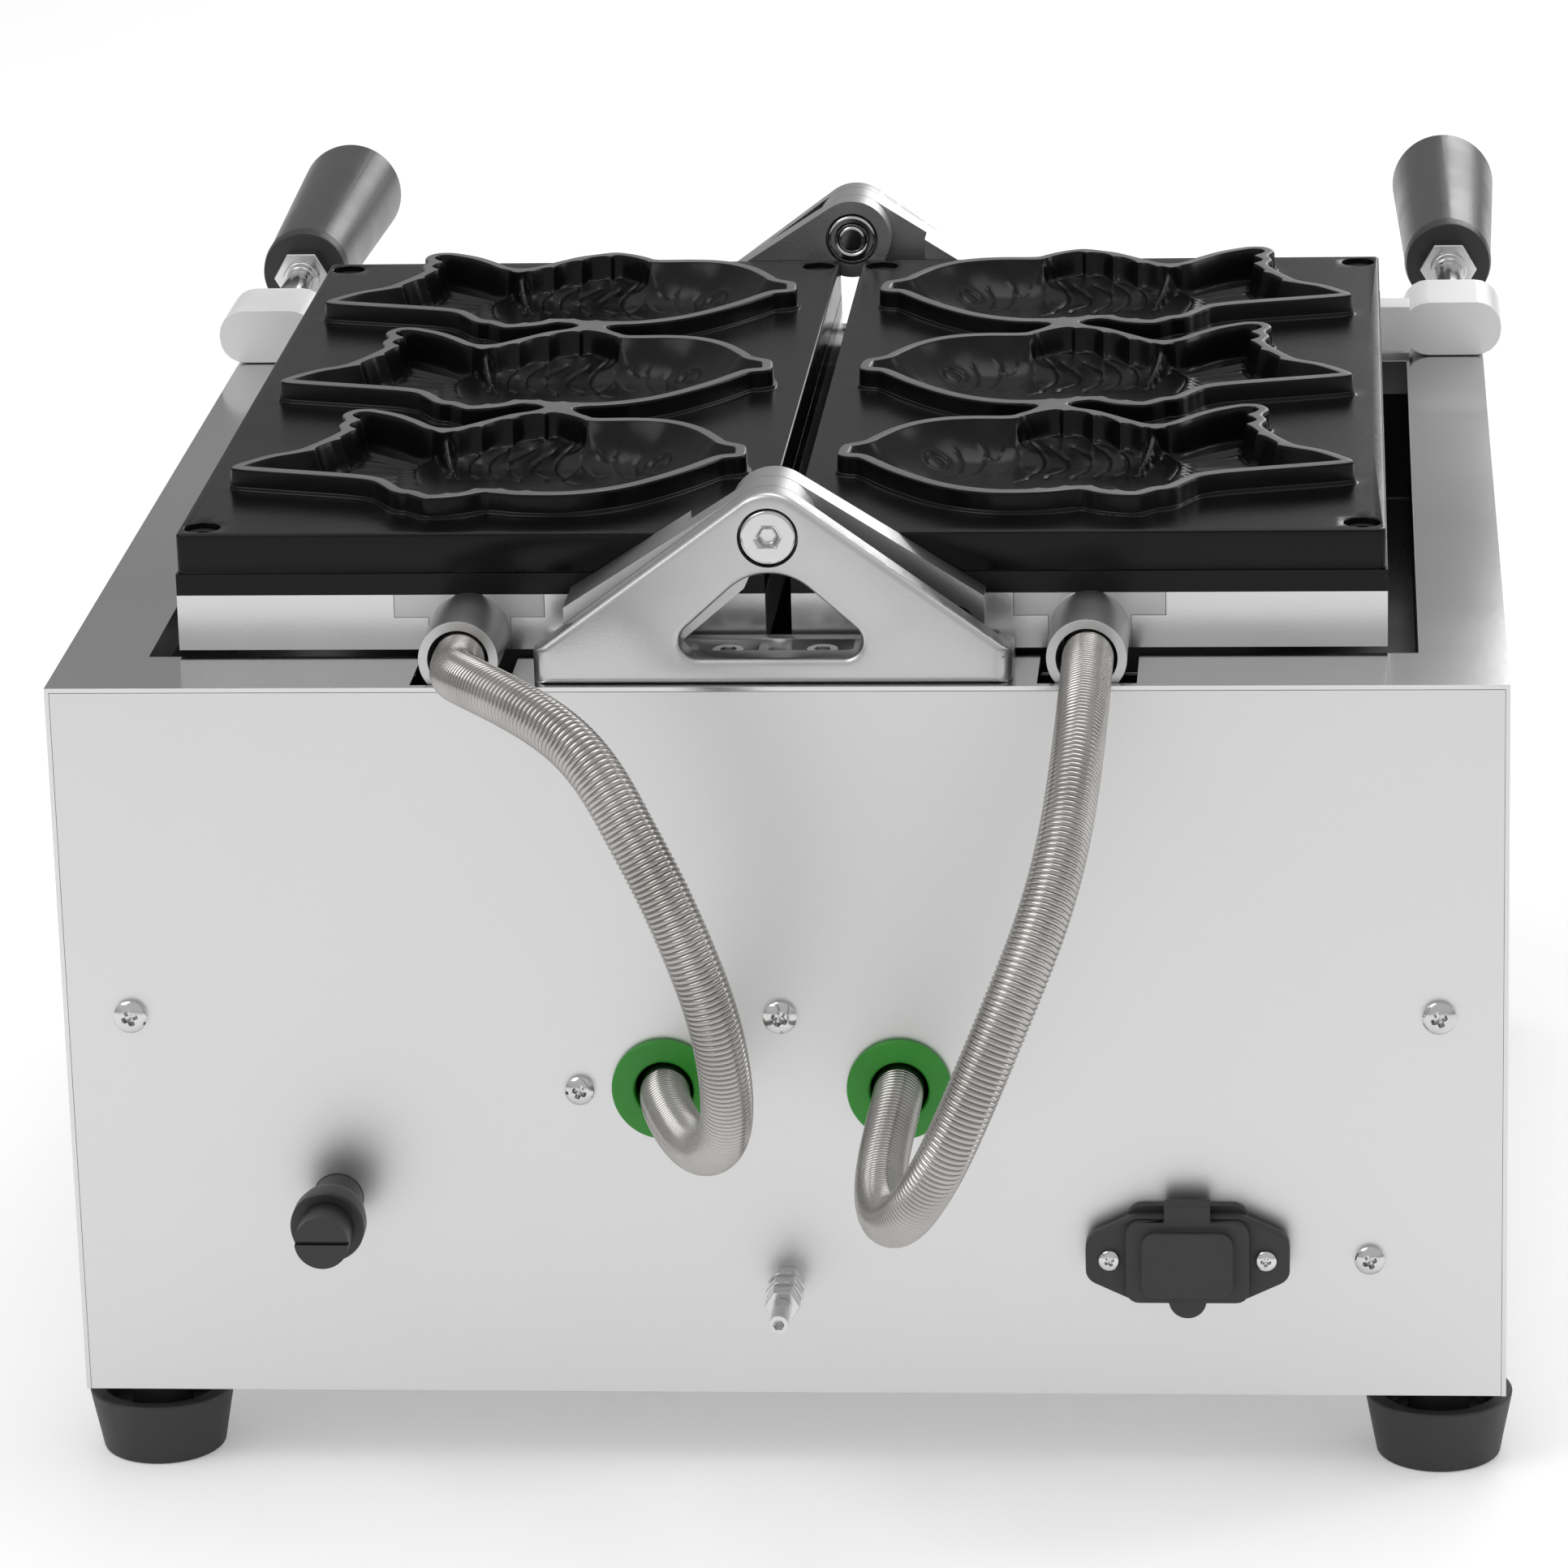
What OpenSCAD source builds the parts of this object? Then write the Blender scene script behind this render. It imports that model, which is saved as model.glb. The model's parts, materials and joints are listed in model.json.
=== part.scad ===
// Fish-shaped waffle baker with two folding pans on a stainless housing.
// The rear panel faces -Y and the operator stands at +Y. Lengths are in millimetres.
// Pieces are drawn from the rear panel's outer face (y = 0) and the housing's floor (z = 0),
// then placed() sets them in the part's own frame, with z = 0 under the feet.

/* [Housing] */
// Width of the deck beside its opening, left and right
deck_side_w = 22.5; // [20:0.5:30]
// Width of the deck behind and before its opening
deck_end_w = 27.5; // [27:0.5:32]
// Clearance from the pans to the opening, left and right
well_side_gap = 8.2; // [6:0.1:12]
// Clearance from the pans to the opening, rear and front
well_end_gap = 1.5; // [1:0.1:3]
// Height of the housing without its feet
body_h = 192; // [180:1:210]
// Thickness of the stainless sheet
sheet_t = 1.2; // [1:0.1:1.5]

/* [Feet] */
// Height from the table to the housing's floor
foot_stand = 22; // [20:0.5:30]
// Height of the rubber cup
foot_h = 17.4; // [14:0.1:19]
// Diameter of the cup at its rim
foot_top_d = 38.5; // [34:0.5:42]
// Diameter of the cup on the table
foot_bottom_d = 32; // [28:0.5:36]

/* [Pans] */
// Plate beyond the fish's nose
nose_margin = 8; // [7:0.5:15]
// Plate beyond the fish's tail
tail_margin = 7; // [4:0.5:15]
// Plate beyond the outermost fins, rear and front
fin_margin = 11.088; // [8:0.1:20]
// Gap between the two open pans
pan_gap = 6.6; // [5:0.2:10]
// Height of the base shell
shell_h = 14.6; // [13:0.1:18]
// Thickness of the heater plate
heater_t = 5.7; // [4:0.1:8]
// Thickness of the mould plate
mould_t = 10.5; // [9:0.1:14]
// Height of the rims round the cavities
rim_h = 6; // [4:0.1:9]

/* [Fish] */
// Length of one fish, nose to tail
fish_len = 136; // [120:0.5:138]
// Width of the rim round a cavity
rim_w = 2.8; // [2:0.1:3.5]
// Depth of the fin and tail below the rim
fin_depth = 6.8; // [4:0.1:8]
// Depth of the belly below the rim
belly_depth = 10.5; // [9:0.1:12]

/* [Hinge] */
// Diameter of the pivot bolts
bolt_d = 8; // [6:0.5:10]
// Thickness of the bracket plates
bracket_t = 8; // [6:0.5:9]
// Radius of the bracket's and arms' noses
nose_r = 11.4; // [10:0.1:12]

/* [Handles] */
// Length of the grip
grip_len = 108; // [90:1:130]
// Diameter of the grip beside the nut
grip_near_d = 26; // [22:0.5:30]
// Diameter of the grip at its free end
grip_far_d = 32; // [28:0.5:38]

/* [Hoses] */
// Outer diameter of the ribbed hose
hose_d = 13; // [12:0.2:13.4]
// Number of ribs on each hose
hose_ribs = 118; // [60:1:125]

/* [Hidden] */
$fn = 48;

// Overrun of every cut, gaps of pieces that move, seat or thread, and the limit of a mitre
over = 1;
run_gap = 0.3;
seat_gap = 0.1;
thread_gap = 0.05;
mitre_limit = 0.7;

// Housing details
return_w = 25;
well_flange_h = 10;
notch_half_w = 12.5;
notch_lip = 2.2;
notch_drop = 4.6;
tray_t = 1;
tray_depth = 42;
tray_lip = 3;

// Feet details
foot_inset = 17;
foot_wall = 4;
foot_floor = 5;
foot_hub_d = 16;
foot_recess_d = 13;
foot_recess_h = 6;
foot_screw_d = 5;
foot_head_d = 10;
foot_head_h = 2.6;
nut_h = 4;
nut_af_d = 9.2;

// Rear panel: screws, grommets and where each sits, from the centre line and the floor
panel_screw_inset = 17.5;
panel_screw_z = 104;
panel_screw_d = 4;
panel_head_d = 8.6;
panel_head_h = 2.8;
panel_head_top_d = 4.4;
small_head_d = 7.6;
clamp_screw_x = -52;
clamp_screw_z = 84;
inner_screw_x = 150;
inner_screw_z = 38;
grommet_x = 30.2;
grommet_z = 84.5;
grommet_d = 27;
grommet_hole_d = 15;
grommet_neck_d = 21;
grommet_proud = 2.2;
grommet_back_t = 2.4;

// Front panel
front_screw_z = 20;

// Pan layers, from the housing's floor
pan_clear = 1.3;
close_gap = 0.3;
heater_proud = 0.4;
shell_wall = 3;
shell_floor = 2;
fish_reach_share = 0.336;
fish_pitch_share = 0.656;
fish_pitch = fish_pitch_share * fish_len;
pan_w = nose_margin + fish_len + tail_margin;
pan_d = 2 * (fish_pitch + fish_reach_share * fish_len + fin_margin);
pan_y = deck_end_w + well_end_gap;
shell_z = body_h + pan_clear;
heater_z = shell_z + shell_h;
mould_z = heater_z + heater_t;
mould_top = mould_z + mould_t;
rim_top = mould_top + rim_h;
pivot_z = rim_top + close_gap / 2;
pan_in = pan_gap / 2;
pan_out = pan_in + pan_w;
well_w = 2 * (pan_out + well_side_gap);
well_d = pan_d + 2 * well_end_gap;
body_w = well_w + 2 * deck_side_w;
body_d = well_d + 2 * deck_end_w;

// Plate screws and arm screws: one size of socket screw
screw_d = 5;
screw_head_d = 8.4;
screw_head_h = 5;
screw_len = 24;
screw_hex_d = 4.4;
screw_hex_h = 2.6;
plate_screw_in = 6;
plate_screw_end = 7;
plate_sink_d = 9.4;
plate_sink_h = 6.4;
post_d = 12;
arm_pad_depth = 24;

// Fish outline: shares of the fish's length, from the nose along the body and across it
fish_outline_shares = [
    [0.006, -0.021], [0.006, 0.018], [0.011, 0.045], [0.023, 0.057], [0.049, 0.077], [0.065, 0.110],
    [0.099, 0.172], [0.142, 0.220], [0.190, 0.247], [0.246, 0.257], [0.320, 0.257], [0.340, 0.273],
    [0.360, 0.293], [0.390, 0.315], [0.423, 0.326], [0.464, 0.308], [0.499, 0.286], [0.546, 0.237],
    [0.586, 0.196], [0.611, 0.188], [0.635, 0.199], [0.669, 0.245], [0.710, 0.292], [0.760, 0.328],
    [0.785, 0.336], [0.809, 0.331], [0.825, 0.310], [0.829, 0.285], [0.818, 0.252], [0.826, 0.215],
    [0.817, 0.180], [0.823, 0.152], [0.839, 0.113], [0.860, 0.068], [0.885, 0.028], [0.929, -0.004],
    [0.962, -0.041], [1.000, -0.091], [0.915, -0.125], [0.813, -0.152], [0.746, -0.172],
    [0.705, -0.194], [0.681, -0.229], [0.663, -0.261], [0.646, -0.279], [0.626, -0.287], [0.609, -0.304],
    [0.593, -0.319], [0.575, -0.322], [0.540, -0.314], [0.511, -0.300], [0.483, -0.280], [0.460, -0.284],
    [0.416, -0.298], [0.349, -0.304], [0.301, -0.297], [0.246, -0.274], [0.196, -0.238], [0.145, -0.183],
    [0.100, -0.124], [0.070, -0.078], [0.046, -0.044], [0.022, -0.036]
];
belly_centre_shares = [0.345, -0.03];
belly_reach_shares = [0.235, 0.19];
belly_sides = 28;
web_at_share = 0.405;
web_w = 10;
web_from_share = 0.31;
web_to_share = 0.288;

// Brackets, from the deck
bracket_inset = 2;
bracket_half_w = 60.5;
bracket_end_h = 8;
bracket_edge = 0.5;
bracket_base_d = deck_end_w - bracket_inset - bracket_edge;
bracket_base_h = 5.6;
bracket_end_r = 4.5;
window_half_w = 30.2;
window_bottom_h = 6.6;
window_apex_h = 33.8;
window_corner_r = 4.5;
window_arch_r = 15;
window_arc_steps = 8;
pocket_near_x = 4;
pocket_w = 16;
pocket_y = 8.6;
pocket_wall = 4.4;
pocket_d = bracket_base_d - pocket_y - pocket_wall;
pocket_floor_h = 2;
bracket_screw_d = 6;
bracket_head_d = 11;
bracket_head_h = 3;
bolt_head_d = 14.4;
bolt_head_h = 4;
bolt_sink_d = 15.4;
bolt_hex_d = 5.6;
bolt_hex_h = 2.5;
pivot_gap = 0.06;

// Arms: two layers between the bracket and the pan
arm_y = bracket_inset + bracket_t + run_gap;
arm_t = (pan_y - 2 * run_gap - arm_y) / 2;
arm_inner_y = arm_y + arm_t + run_gap;
arm_end_x = 53;
arm_end_drop = 20.4;
arm_foot_x = 26;
arm_waist_x = 7;
arm_waist_drop = 15.5;
arm_foot_gap = 1;
arm_thick_x = 21.5;
arm_screw_xs = [33, 46];
arm_screw_rise = 9.6;
arm_foot_drop = pivot_z - body_h - bracket_base_h - arm_foot_gap;

// Hose bosses
boss_x = 79.3;
boss_drop = 9.6;
boss_d = 20.3;
boss_bore_d = 15.5;
boss_mouth_y = 2.8;
boss_head_w = 38.6;
boss_head_h = 6;
boss_stem_w = 21;
boss_wire_d = 9;
boss_wire_rise = 1.8;
boss_z = heater_z - boss_drop;

// Heating element
element_d = 6.6;
element_bend_r = 18;
element_end = 30;
element_pin_d = 4;
element_pin_len = 8;

// Handle lug, stud, nut, ferrule and grip
lug_from = 36;
lug_reach = 21.7;
lug_bar_t = 18;
lug_step = 7;
lug_pad_w = 31;
lug_pad_h = 16;
lug_pad_d = 28;
lug_side_gap = 1.2;
lug_r = 7.4;
lug_bar_r = 3;
stud_d = 8;
stud_collar_d = 11;
stud_collar_t = 2.5;
stud_out = 45;
grip_nut_t = 6.5;
grip_nut_d = 17.3;
ferrule_t = 5;
ferrule_proud = 0.6;
ferrule_hole_d = 9;
grip_bore_depth = 40;
grip_end_r = 3;
lug_z = body_h + run_gap + lug_pad_h / 2;
lug_y = pan_y + pan_d;
pad_y = lug_y + lug_step;
pad_end_y = pad_y + lug_pad_d;
nut_y = pad_end_y + stud_out;
ferrule_y = nut_y + grip_nut_t;
grip_y = ferrule_y + ferrule_t;
handle_x = pan_out + lug_reach;

// Fuse holder
fuse_x = -116;
fuse_z = 54;
fuse_barrel_d = 13;
fuse_barrel_out = 12;
fuse_barrel_in = 24;
fuse_bore_d = 10;
fuse_collar_d = 17.4;
fuse_collar_t = 4.2;
fuse_flange_d = 19.1;
fuse_flange_t = 5.2;
fuse_cap_d = 13.9;
fuse_cap_len = 10.8;
fuse_stem_d = 9.4;
fuse_stem_len = 12;
fuse_socket_d = 6.7;
fuse_slot_w = 1;
fuse_slot_h = 1.2;
fuse_glass_d = 6.1;
fuse_ferrule_d = 6.5;
fuse_ferrule_len = 6;
fuse_len = 30;
fuse_nut_d = 18;
fuse_nut_t = 4;
fuse_flange_y = -(fuse_barrel_out + fuse_collar_t);
fuse_out = fuse_barrel_out + fuse_collar_t + fuse_flange_t + fuse_cap_len;

// Power inlet, with its rubber frame and flap
inlet_x = 103.5;
inlet_z = 40.4;
inlet_screw_half = 20;
gasket_w = 31.4;
gasket_h = 26.2;
gasket_t = 2.4;
gasket_r = 4;
inlet_flange_t = 2.6;
frame_t = 2;
lozenge_half_w = 26.1;
lozenge_half_h = 11.5;
lozenge_mid_half_w = 13.5;
lozenge_end_half_h = 5.5;
lozenge_r = 4;
socket_w = 27;
socket_h = 19.6;
socket_depth = 22;
socket_wall = 1.4;
socket_back = 3;
pin_w = 2;
pin_h = 5;
pin_len = 13;
pin_spread = 7;
pin_rise = 2.2;
socket_lip_w = 24;
flap_w = 31.6;
flap_h = 22;
flap_t = 2.2;
flap_pad_w = 23.4;
flap_pad_h = 17.7;
flap_pad_t = 2;
flap_r = 3.4;
flap_tab_d = 9.6;
flap_tab_drop = 0.6;
strap_w = 11.8;
strap_t = 1.8;
knuckle_d = 3.6;
inlet_head_d = 5.4;
inlet_head_h = 1.8;
inlet_screw_d = 3;
inlet_nut_t = 2.6;
inlet_nut_d = 6;
flange_y = -(gasket_t + seat_gap + inlet_flange_t);
frame_y = flange_y - seat_gap - frame_t;
flap_y = frame_y - run_gap - flap_t;
knuckle_z = inlet_z + lozenge_half_h + run_gap + knuckle_d / 2;
knuckle_y = -gasket_t - run_gap - knuckle_d / 2;

// Ground stud
ground_z = 31.3;
ground_d = 5;
ground_shank_d = 4.2;
ground_free = 12;
ground_out = 30;
ground_head_d = 9;
ground_head_t = 3.4;
ground_hex_d = 3;
ground_hex_h = 3;
ground_nut_d = 9.2;
ground_nut_t = 5;
ground_washer_d = 9.8;
ground_washer_t = 1.2;

// Controls on the front panel
knob_x = 95;
knob_z = 92;
knob_d = 38;
knob_top_d = 34;
knob_h = 16;
knob_skirt_d = 46;
knob_skirt_t = 2.4;
knob_bar_w = 9;
knob_bar_h = 6;
knob_mark_w = 2;
knob_mark_t = 1;
spindle_d = 6;
spindle_in = 20;
spindle_grip = 12;
bush_d = 10;
bush_h = 3;
thermostat_w = 38;
thermostat_t = 20;
timer_w = 44;
timer_t = 30;
rocker_w = 19;
rocker_h = 24;
rocker_proud = 2.4;
rocker_tilt = 9;
rocker_r = 17;
rocker_trim = 3;
bezel_w = 25;
bezel_h = 31;
bezel_t = 2;
switch_w = 22;
switch_h = 27.6;
switch_t = 22;
switch_wall = 1.2;
lamp_rise = 48;
lamp_d = 12;
lamp_t = 4;
lamp_stem_d = 9.6;
lamp_stem = 18;

// Terminal block on the floor of the housing
block_y = 60;
block_w = 62;
block_d = 22;
block_h = 18;
block_poles = 5;
block_hole_d = 5;
block_hole_h = 9;

// Hoses: centre line of each, hand-set, from the rear panel and the floor
hose_sides = 8;
hose_rib_depth = 0.7;
hose_wall = 1.4;
hose_bore_step = 3;
hose_steps = 12;
hose_ring_side = [1, 0.35, 0];
left_route = [
    [-78.9, 42, 198.9], [-78.9, 28.6, 198.9], [-78.9, 15.2, 198.9], [-78.9, 1.8, 198.9],
    [-78.9, -11.6, 198.9], [-72, -42, 207], [-41, -69, 201], [-29, -79, 181], [-21, -83, 167], [-14, -86, 151],
    [-7, -86, 130], [-6, -74, 98], [-18, -45, 82], [-30, -10, 84],
    [-30, 3, 84], [-30, 16, 84], [-30, 29, 84]
];
right_route = [
    [79.7, 42, 198.9], [79.7, 28.6, 198.9], [79.7, 15.2, 198.9], [79.7, 1.8, 198.9], [79.7, -11.6, 198.9],
    [79.5, -46, 195], [77, -72, 178], [72, -87, 161], [64, -97, 143], [57, -102, 127],
    [46, -104, 101], [33, -83, 76], [26, -45, 73], [30, -10, 84],
    [30, 3, 84], [30, 16, 84], [30, 29, 84]
];

// Where the rear panel's face lies in the part's own frame
rear_y = -(grip_y + grip_len - fuse_out) / 2;

steel = "silver";
cast = "gainsboro";
black = [0.11, 0.11, 0.12];
rubber = [0.07, 0.07, 0.08];

// Vector helpers
function unit(v) = v / norm(v);
function wrap(i, n) = (i + n) % n;

// One rounded corner at p, between a and b, as n + 1 points
function corner(a, p, b, r, n) =
    let (u = unit(a - p), v = unit(b - p), half = acos(u * v) / 2)
    let (c = p + unit(u + v) * r / sin(half), s = p + u * r / tan(half), e = p + v * r / tan(half))
    let (from = atan2(s.y - c.y, s.x - c.x), to = atan2(e.y - c.y, e.x - c.x))
    let (turn = (to - from + 540) % 360 - 180)
    [for (i = [0:n]) c + r * [cos(from + turn * i / n), sin(from + turn * i / n)]];

function rounded(pts, r, n = 5) = [
    for (i = [0:len(pts) - 1])
        each corner(pts[wrap(i - 1, len(pts))], pts[i], pts[wrap(i + 1, len(pts))], r, n)
];

function box_points(w, h) = [[-w / 2, -h / 2], [w / 2, -h / 2], [w / 2, h / 2], [-w / 2, h / 2]];

// Moves each point of a clockwise outline inwards by d, with short mitres
function inset(pts, d) = [
    for (i = [0:len(pts) - 1])
        let (t = unit(pts[i] - pts[wrap(i - 1, len(pts))]), u = unit(pts[wrap(i + 1, len(pts))] - pts[i]))
        let (n = [t.y, -t.x], m = [u.y, -u.x])
        pts[i] + d * (n + m) / max(1 + n * m, mitre_limit)
];

// Point where the upper tangent from e touches the nose circle at the pivot
function nose_touch(e) =
    let (a = atan2(e.y, e.x) + acos(nose_r / norm(e)))
    nose_r * [cos(a), sin(a)];

// Placing and drawing helpers
module placed() {
    translate([0, rear_y, foot_stand]) children();
}

module turned() {
    translate([0, body_d, 0]) rotate([0, 0, 180]) children();
}

module mirrored() {
    mirror([1, 0, 0]) children();
}

// A profile drawn in X and Z, run along Y from y for length t
module slab(y, t) {
    translate([0, y + t, 0]) rotate([90, 0, 0]) linear_extrude(height = t) children();
}

// A round bar or hole along Y
module bar(x, y, z, t, d, d_end = 0) {
    translate([x, y, z]) rotate([-90, 0, 0]) cylinder(h = t, d1 = d, d2 = d_end == 0 ? d : d_end);
}

module hex_bar(x, y, z, t, d) {
    translate([x, y, z]) rotate([-90, 0, 0]) cylinder(h = t, d = d, $fn = 6);
}

// Rounded block along Y, centred on x and z
module rounded_block(x, y, z, w, t, h, r) {
    translate([x, 0, z]) slab(y, t) polygon(rounded(box_points(w, h), r));
}

module sheet_box(w, d, h) {
    translate([-w / 2, 0, 0]) cube([w, d, h]);
}

// Housing: deck, sides, returns that carry the panels, and the folded edges of the opening
module returns() {
    for (side = [0, 1]) mirror([side, 0, 0])
        for (y = [sheet_t + seat_gap, body_d - 2 * sheet_t - seat_gap])
            translate([body_w / 2 - return_w, y, sheet_t + seat_gap])
                cube([return_w - sheet_t / 2, sheet_t, body_h - 2 * sheet_t]);
}

module well_flanges() {
    translate([0, (body_d - well_d) / 2 - sheet_t, body_h - well_flange_h]) difference() {
        sheet_box(well_w + 2 * sheet_t, well_d + 2 * sheet_t, well_flange_h - sheet_t / 2);
        translate([0, sheet_t, -over]) sheet_box(well_w, well_d, well_flange_h + 2 * over);
    }
}

module boss_notches() {
    for (side = [-1, 1])
        translate([side * boss_x - notch_half_w, notch_lip, body_h - notch_drop])
            cube([2 * notch_half_w, (body_d - well_d) / 2 - notch_lip + over, notch_drop + over]);
}

module bracket_screw_holes() {
    for (side = [-1, 1])
        translate([side * (pocket_near_x + pocket_w / 2), bracket_inset + pocket_y + pocket_d / 2, 0])
            children();
}

module housing() {
    color(steel) difference() {
        union() {
            difference() {
                sheet_box(body_w, body_d, body_h);
                translate([0, -over, -over])
                    sheet_box(body_w - 2 * sheet_t, body_d + 2 * over, body_h - sheet_t + over);
                translate([0, (body_d - well_d) / 2, -over]) sheet_box(well_w, well_d, body_h + 2 * over);
            }
            returns();
            well_flanges();
        }
        boss_notches();
        for (side = [-1, 1]) {
            for (z = [panel_screw_z, front_screw_z, body_h - front_screw_z])
                bar(side * (body_w / 2 - panel_screw_inset), -over, z,
                    body_d + 2 * over, panel_screw_d + thread_gap);
        }
        bracket_screw_holes() cylinder(h = body_h + over, d = bracket_screw_d + thread_gap);
        turned() bracket_screw_holes() cylinder(h = body_h + over, d = bracket_screw_d + thread_gap);
    }
}

module panel_blank(y) {
    translate([0, y, seat_gap])
        sheet_box(body_w - 2 * sheet_t - 2 * seat_gap, sheet_t, body_h - sheet_t - 2 * seat_gap);
}

module rear_panel() {
    color(steel) difference() {
        panel_blank(0);
        for (x = [-1, 0, 1])
            bar(x * (body_w / 2 - panel_screw_inset), -over, panel_screw_z,
                sheet_t + 2 * over, panel_screw_d + thread_gap);
        bar(clamp_screw_x, -over, clamp_screw_z, sheet_t + 2 * over, panel_screw_d + thread_gap);
        bar(inner_screw_x, -over, inner_screw_z, sheet_t + 2 * over, panel_screw_d + thread_gap);
        for (side = [-1, 1])
            bar(side * grommet_x, -over, grommet_z, sheet_t + 2 * over, grommet_neck_d + 2 * seat_gap);
        bar(fuse_x, -over, fuse_z, sheet_t + 2 * over, fuse_barrel_d + 2 * seat_gap);
        bar(0, -over, ground_z, sheet_t + 2 * over, ground_shank_d + 2 * seat_gap);
        translate([inlet_x, 0, inlet_z]) slab(-over, sheet_t + 2 * over)
            square([socket_w + 2 * seat_gap, socket_h + 2 * seat_gap], center = true);
        for (side = [-1, 1])
            bar(inlet_x + side * inlet_screw_half, -over, inlet_z,
                sheet_t + 2 * over, inlet_screw_d + seat_gap);
    }
}

module front_panel() {
    color(steel) difference() {
        panel_blank(body_d - sheet_t);
        for (side = [-1, 1]) {
            for (z = [front_screw_z, body_h - front_screw_z])
                bar(side * (body_w / 2 - panel_screw_inset), body_d - sheet_t - over, z,
                    sheet_t + 2 * over, panel_screw_d + thread_gap);
            bar(side * knob_x, body_d - sheet_t - over, knob_z, sheet_t + 2 * over, bush_d + 2 * seat_gap);
            bar(side * knob_x, body_d - sheet_t - over, knob_z + lamp_rise,
                sheet_t + 2 * over, lamp_stem_d + 2 * seat_gap);
        }
        translate([0, 0, knob_z]) slab(body_d - sheet_t - over, sheet_t + 2 * over)
            square([switch_w + 2 * seat_gap, switch_h + 2 * seat_gap], center = true);
    }
}

module bottom_plate() {
    color(steel) difference() {
        translate([0, sheet_t + seat_gap, 0])
            sheet_box(body_w - 2 * sheet_t - 2 * seat_gap, body_d - 2 * sheet_t - 2 * seat_gap, sheet_t);
        foot_places() translate([0, 0, -over])
            cylinder(h = sheet_t + 2 * over, d = foot_screw_d + thread_gap);
    }
}

// Tray that closes the opening below the pans
module well_tray() {
    out_w = well_w + 2 * sheet_t + 2 * seat_gap + 2 * tray_t;
    out_d = well_d + 2 * sheet_t + 2 * seat_gap + 2 * tray_t;
    top = body_h - sheet_t - seat_gap;
    color(black) difference() {
        union() {
            translate([0, (body_d - out_d) / 2, top - tray_depth]) sheet_box(out_w, out_d, tray_depth);
            translate([0, (body_d - out_d) / 2 - tray_lip, top - tray_t])
                sheet_box(out_w + 2 * tray_lip, out_d + 2 * tray_lip, tray_t);
        }
        translate([0, (body_d - out_d) / 2 + tray_t, top - tray_depth + tray_t])
            sheet_box(out_w - 2 * tray_t, out_d - 2 * tray_t, tray_depth);
        boss_notches();
    }
}

module foot_places() {
    for (x = [-1, 1], y = [foot_inset, body_d - foot_inset])
        translate([x * (body_w / 2 - foot_inset), y, 0]) children();
}

module rubber_feet() {
    hole_r = (foot_screw_d + run_gap) / 2;
    slope = (foot_top_d - foot_bottom_d) / 2 * foot_floor / foot_h;
    color(rubber) foot_places() translate([0, 0, -foot_stand]) rotate_extrude() polygon([
        [hole_r, foot_recess_h], [foot_recess_d / 2, foot_recess_h], [foot_recess_d / 2, 0],
        [foot_bottom_d / 2, 0], [foot_top_d / 2, foot_h], [foot_top_d / 2 - foot_wall, foot_h],
        [foot_bottom_d / 2 + slope - foot_wall, foot_recess_h + foot_floor],
        [foot_hub_d / 2, foot_recess_h + foot_floor], [foot_hub_d / 2, foot_stand], [hole_r, foot_stand]
    ]);
}

module foot_screws() {
    color(steel) foot_places() {
        translate([0, 0, foot_recess_h - foot_head_h - foot_stand])
            cylinder(h = foot_head_h, d = foot_head_d);
        translate([0, 0, foot_recess_h - foot_head_h - foot_stand])
            cylinder(h = foot_stand - foot_recess_h + foot_head_h + sheet_t + nut_h + over, d = foot_screw_d);
        translate([0, 0, sheet_t]) difference() {
            cylinder(h = nut_h, d = nut_af_d, $fn = 6);
            translate([0, 0, -over]) cylinder(h = nut_h + 2 * over, d = foot_screw_d + 2 * thread_gap);
        }
    }
}

// Bracket: a triangular plate with a window, on a base with two pockets for its screws
module bracket_profile() {
    pivot_h = pivot_z - body_h;
    touch = nose_touch([bracket_half_w, bracket_end_h - pivot_h]);
    polygon([
        [-bracket_half_w, 0], [bracket_half_w, 0], [bracket_half_w, bracket_end_h],
        [touch.x, touch.y + pivot_h], [-touch.x, touch.y + pivot_h], [-bracket_half_w, bracket_end_h]
    ]);
    translate([0, pivot_h]) circle(r = nose_r);
}

module bracket_window() {
    left = [-window_half_w, window_bottom_h];
    right = [window_half_w, window_bottom_h];
    apex = [0, window_apex_h];
    polygon(concat(
        corner(apex, left, right, window_corner_r, window_arc_steps),
        corner(left, right, apex, window_corner_r, window_arc_steps),
        corner(right, apex, left, window_arch_r, window_arc_steps)
    ));
}

module bracket() {
    pivot_h = pivot_z - body_h;
    difference() {
        intersection() {
            union() {
                slab(0, bracket_t) bracket_profile();
                translate([-bracket_half_w, 0, 0]) cube([2 * bracket_half_w, bracket_base_d, bracket_base_h]);
            }
            translate([0, bracket_base_d / 2, 0]) linear_extrude(pivot_h + nose_r + over)
                polygon(rounded(box_points(2 * bracket_half_w, bracket_base_d), bracket_end_r));
        }
        slab(-over, bracket_t + 2 * over) bracket_window();
        bar(0, -over, pivot_h, bracket_t + 2 * over, bolt_d + 2 * thread_gap);
        bar(0, -over, pivot_h, bolt_head_h + over, bolt_sink_d);
        for (side = [0, 1]) mirror([side, 0, 0]) {
            translate([pocket_near_x, pocket_y, pocket_floor_h]) cube([pocket_w, pocket_d, bracket_base_h]);
            translate([pocket_near_x + pocket_w / 2, pocket_y + pocket_d / 2, -over])
                cylinder(h = bracket_base_h, d = bracket_screw_d + 2 * seat_gap);
        }
    }
}

module rear_bracket() {
    color(cast) translate([0, bracket_inset, body_h]) bracket();
}

module front_bracket() {
    turned() rear_bracket();
}

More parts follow.
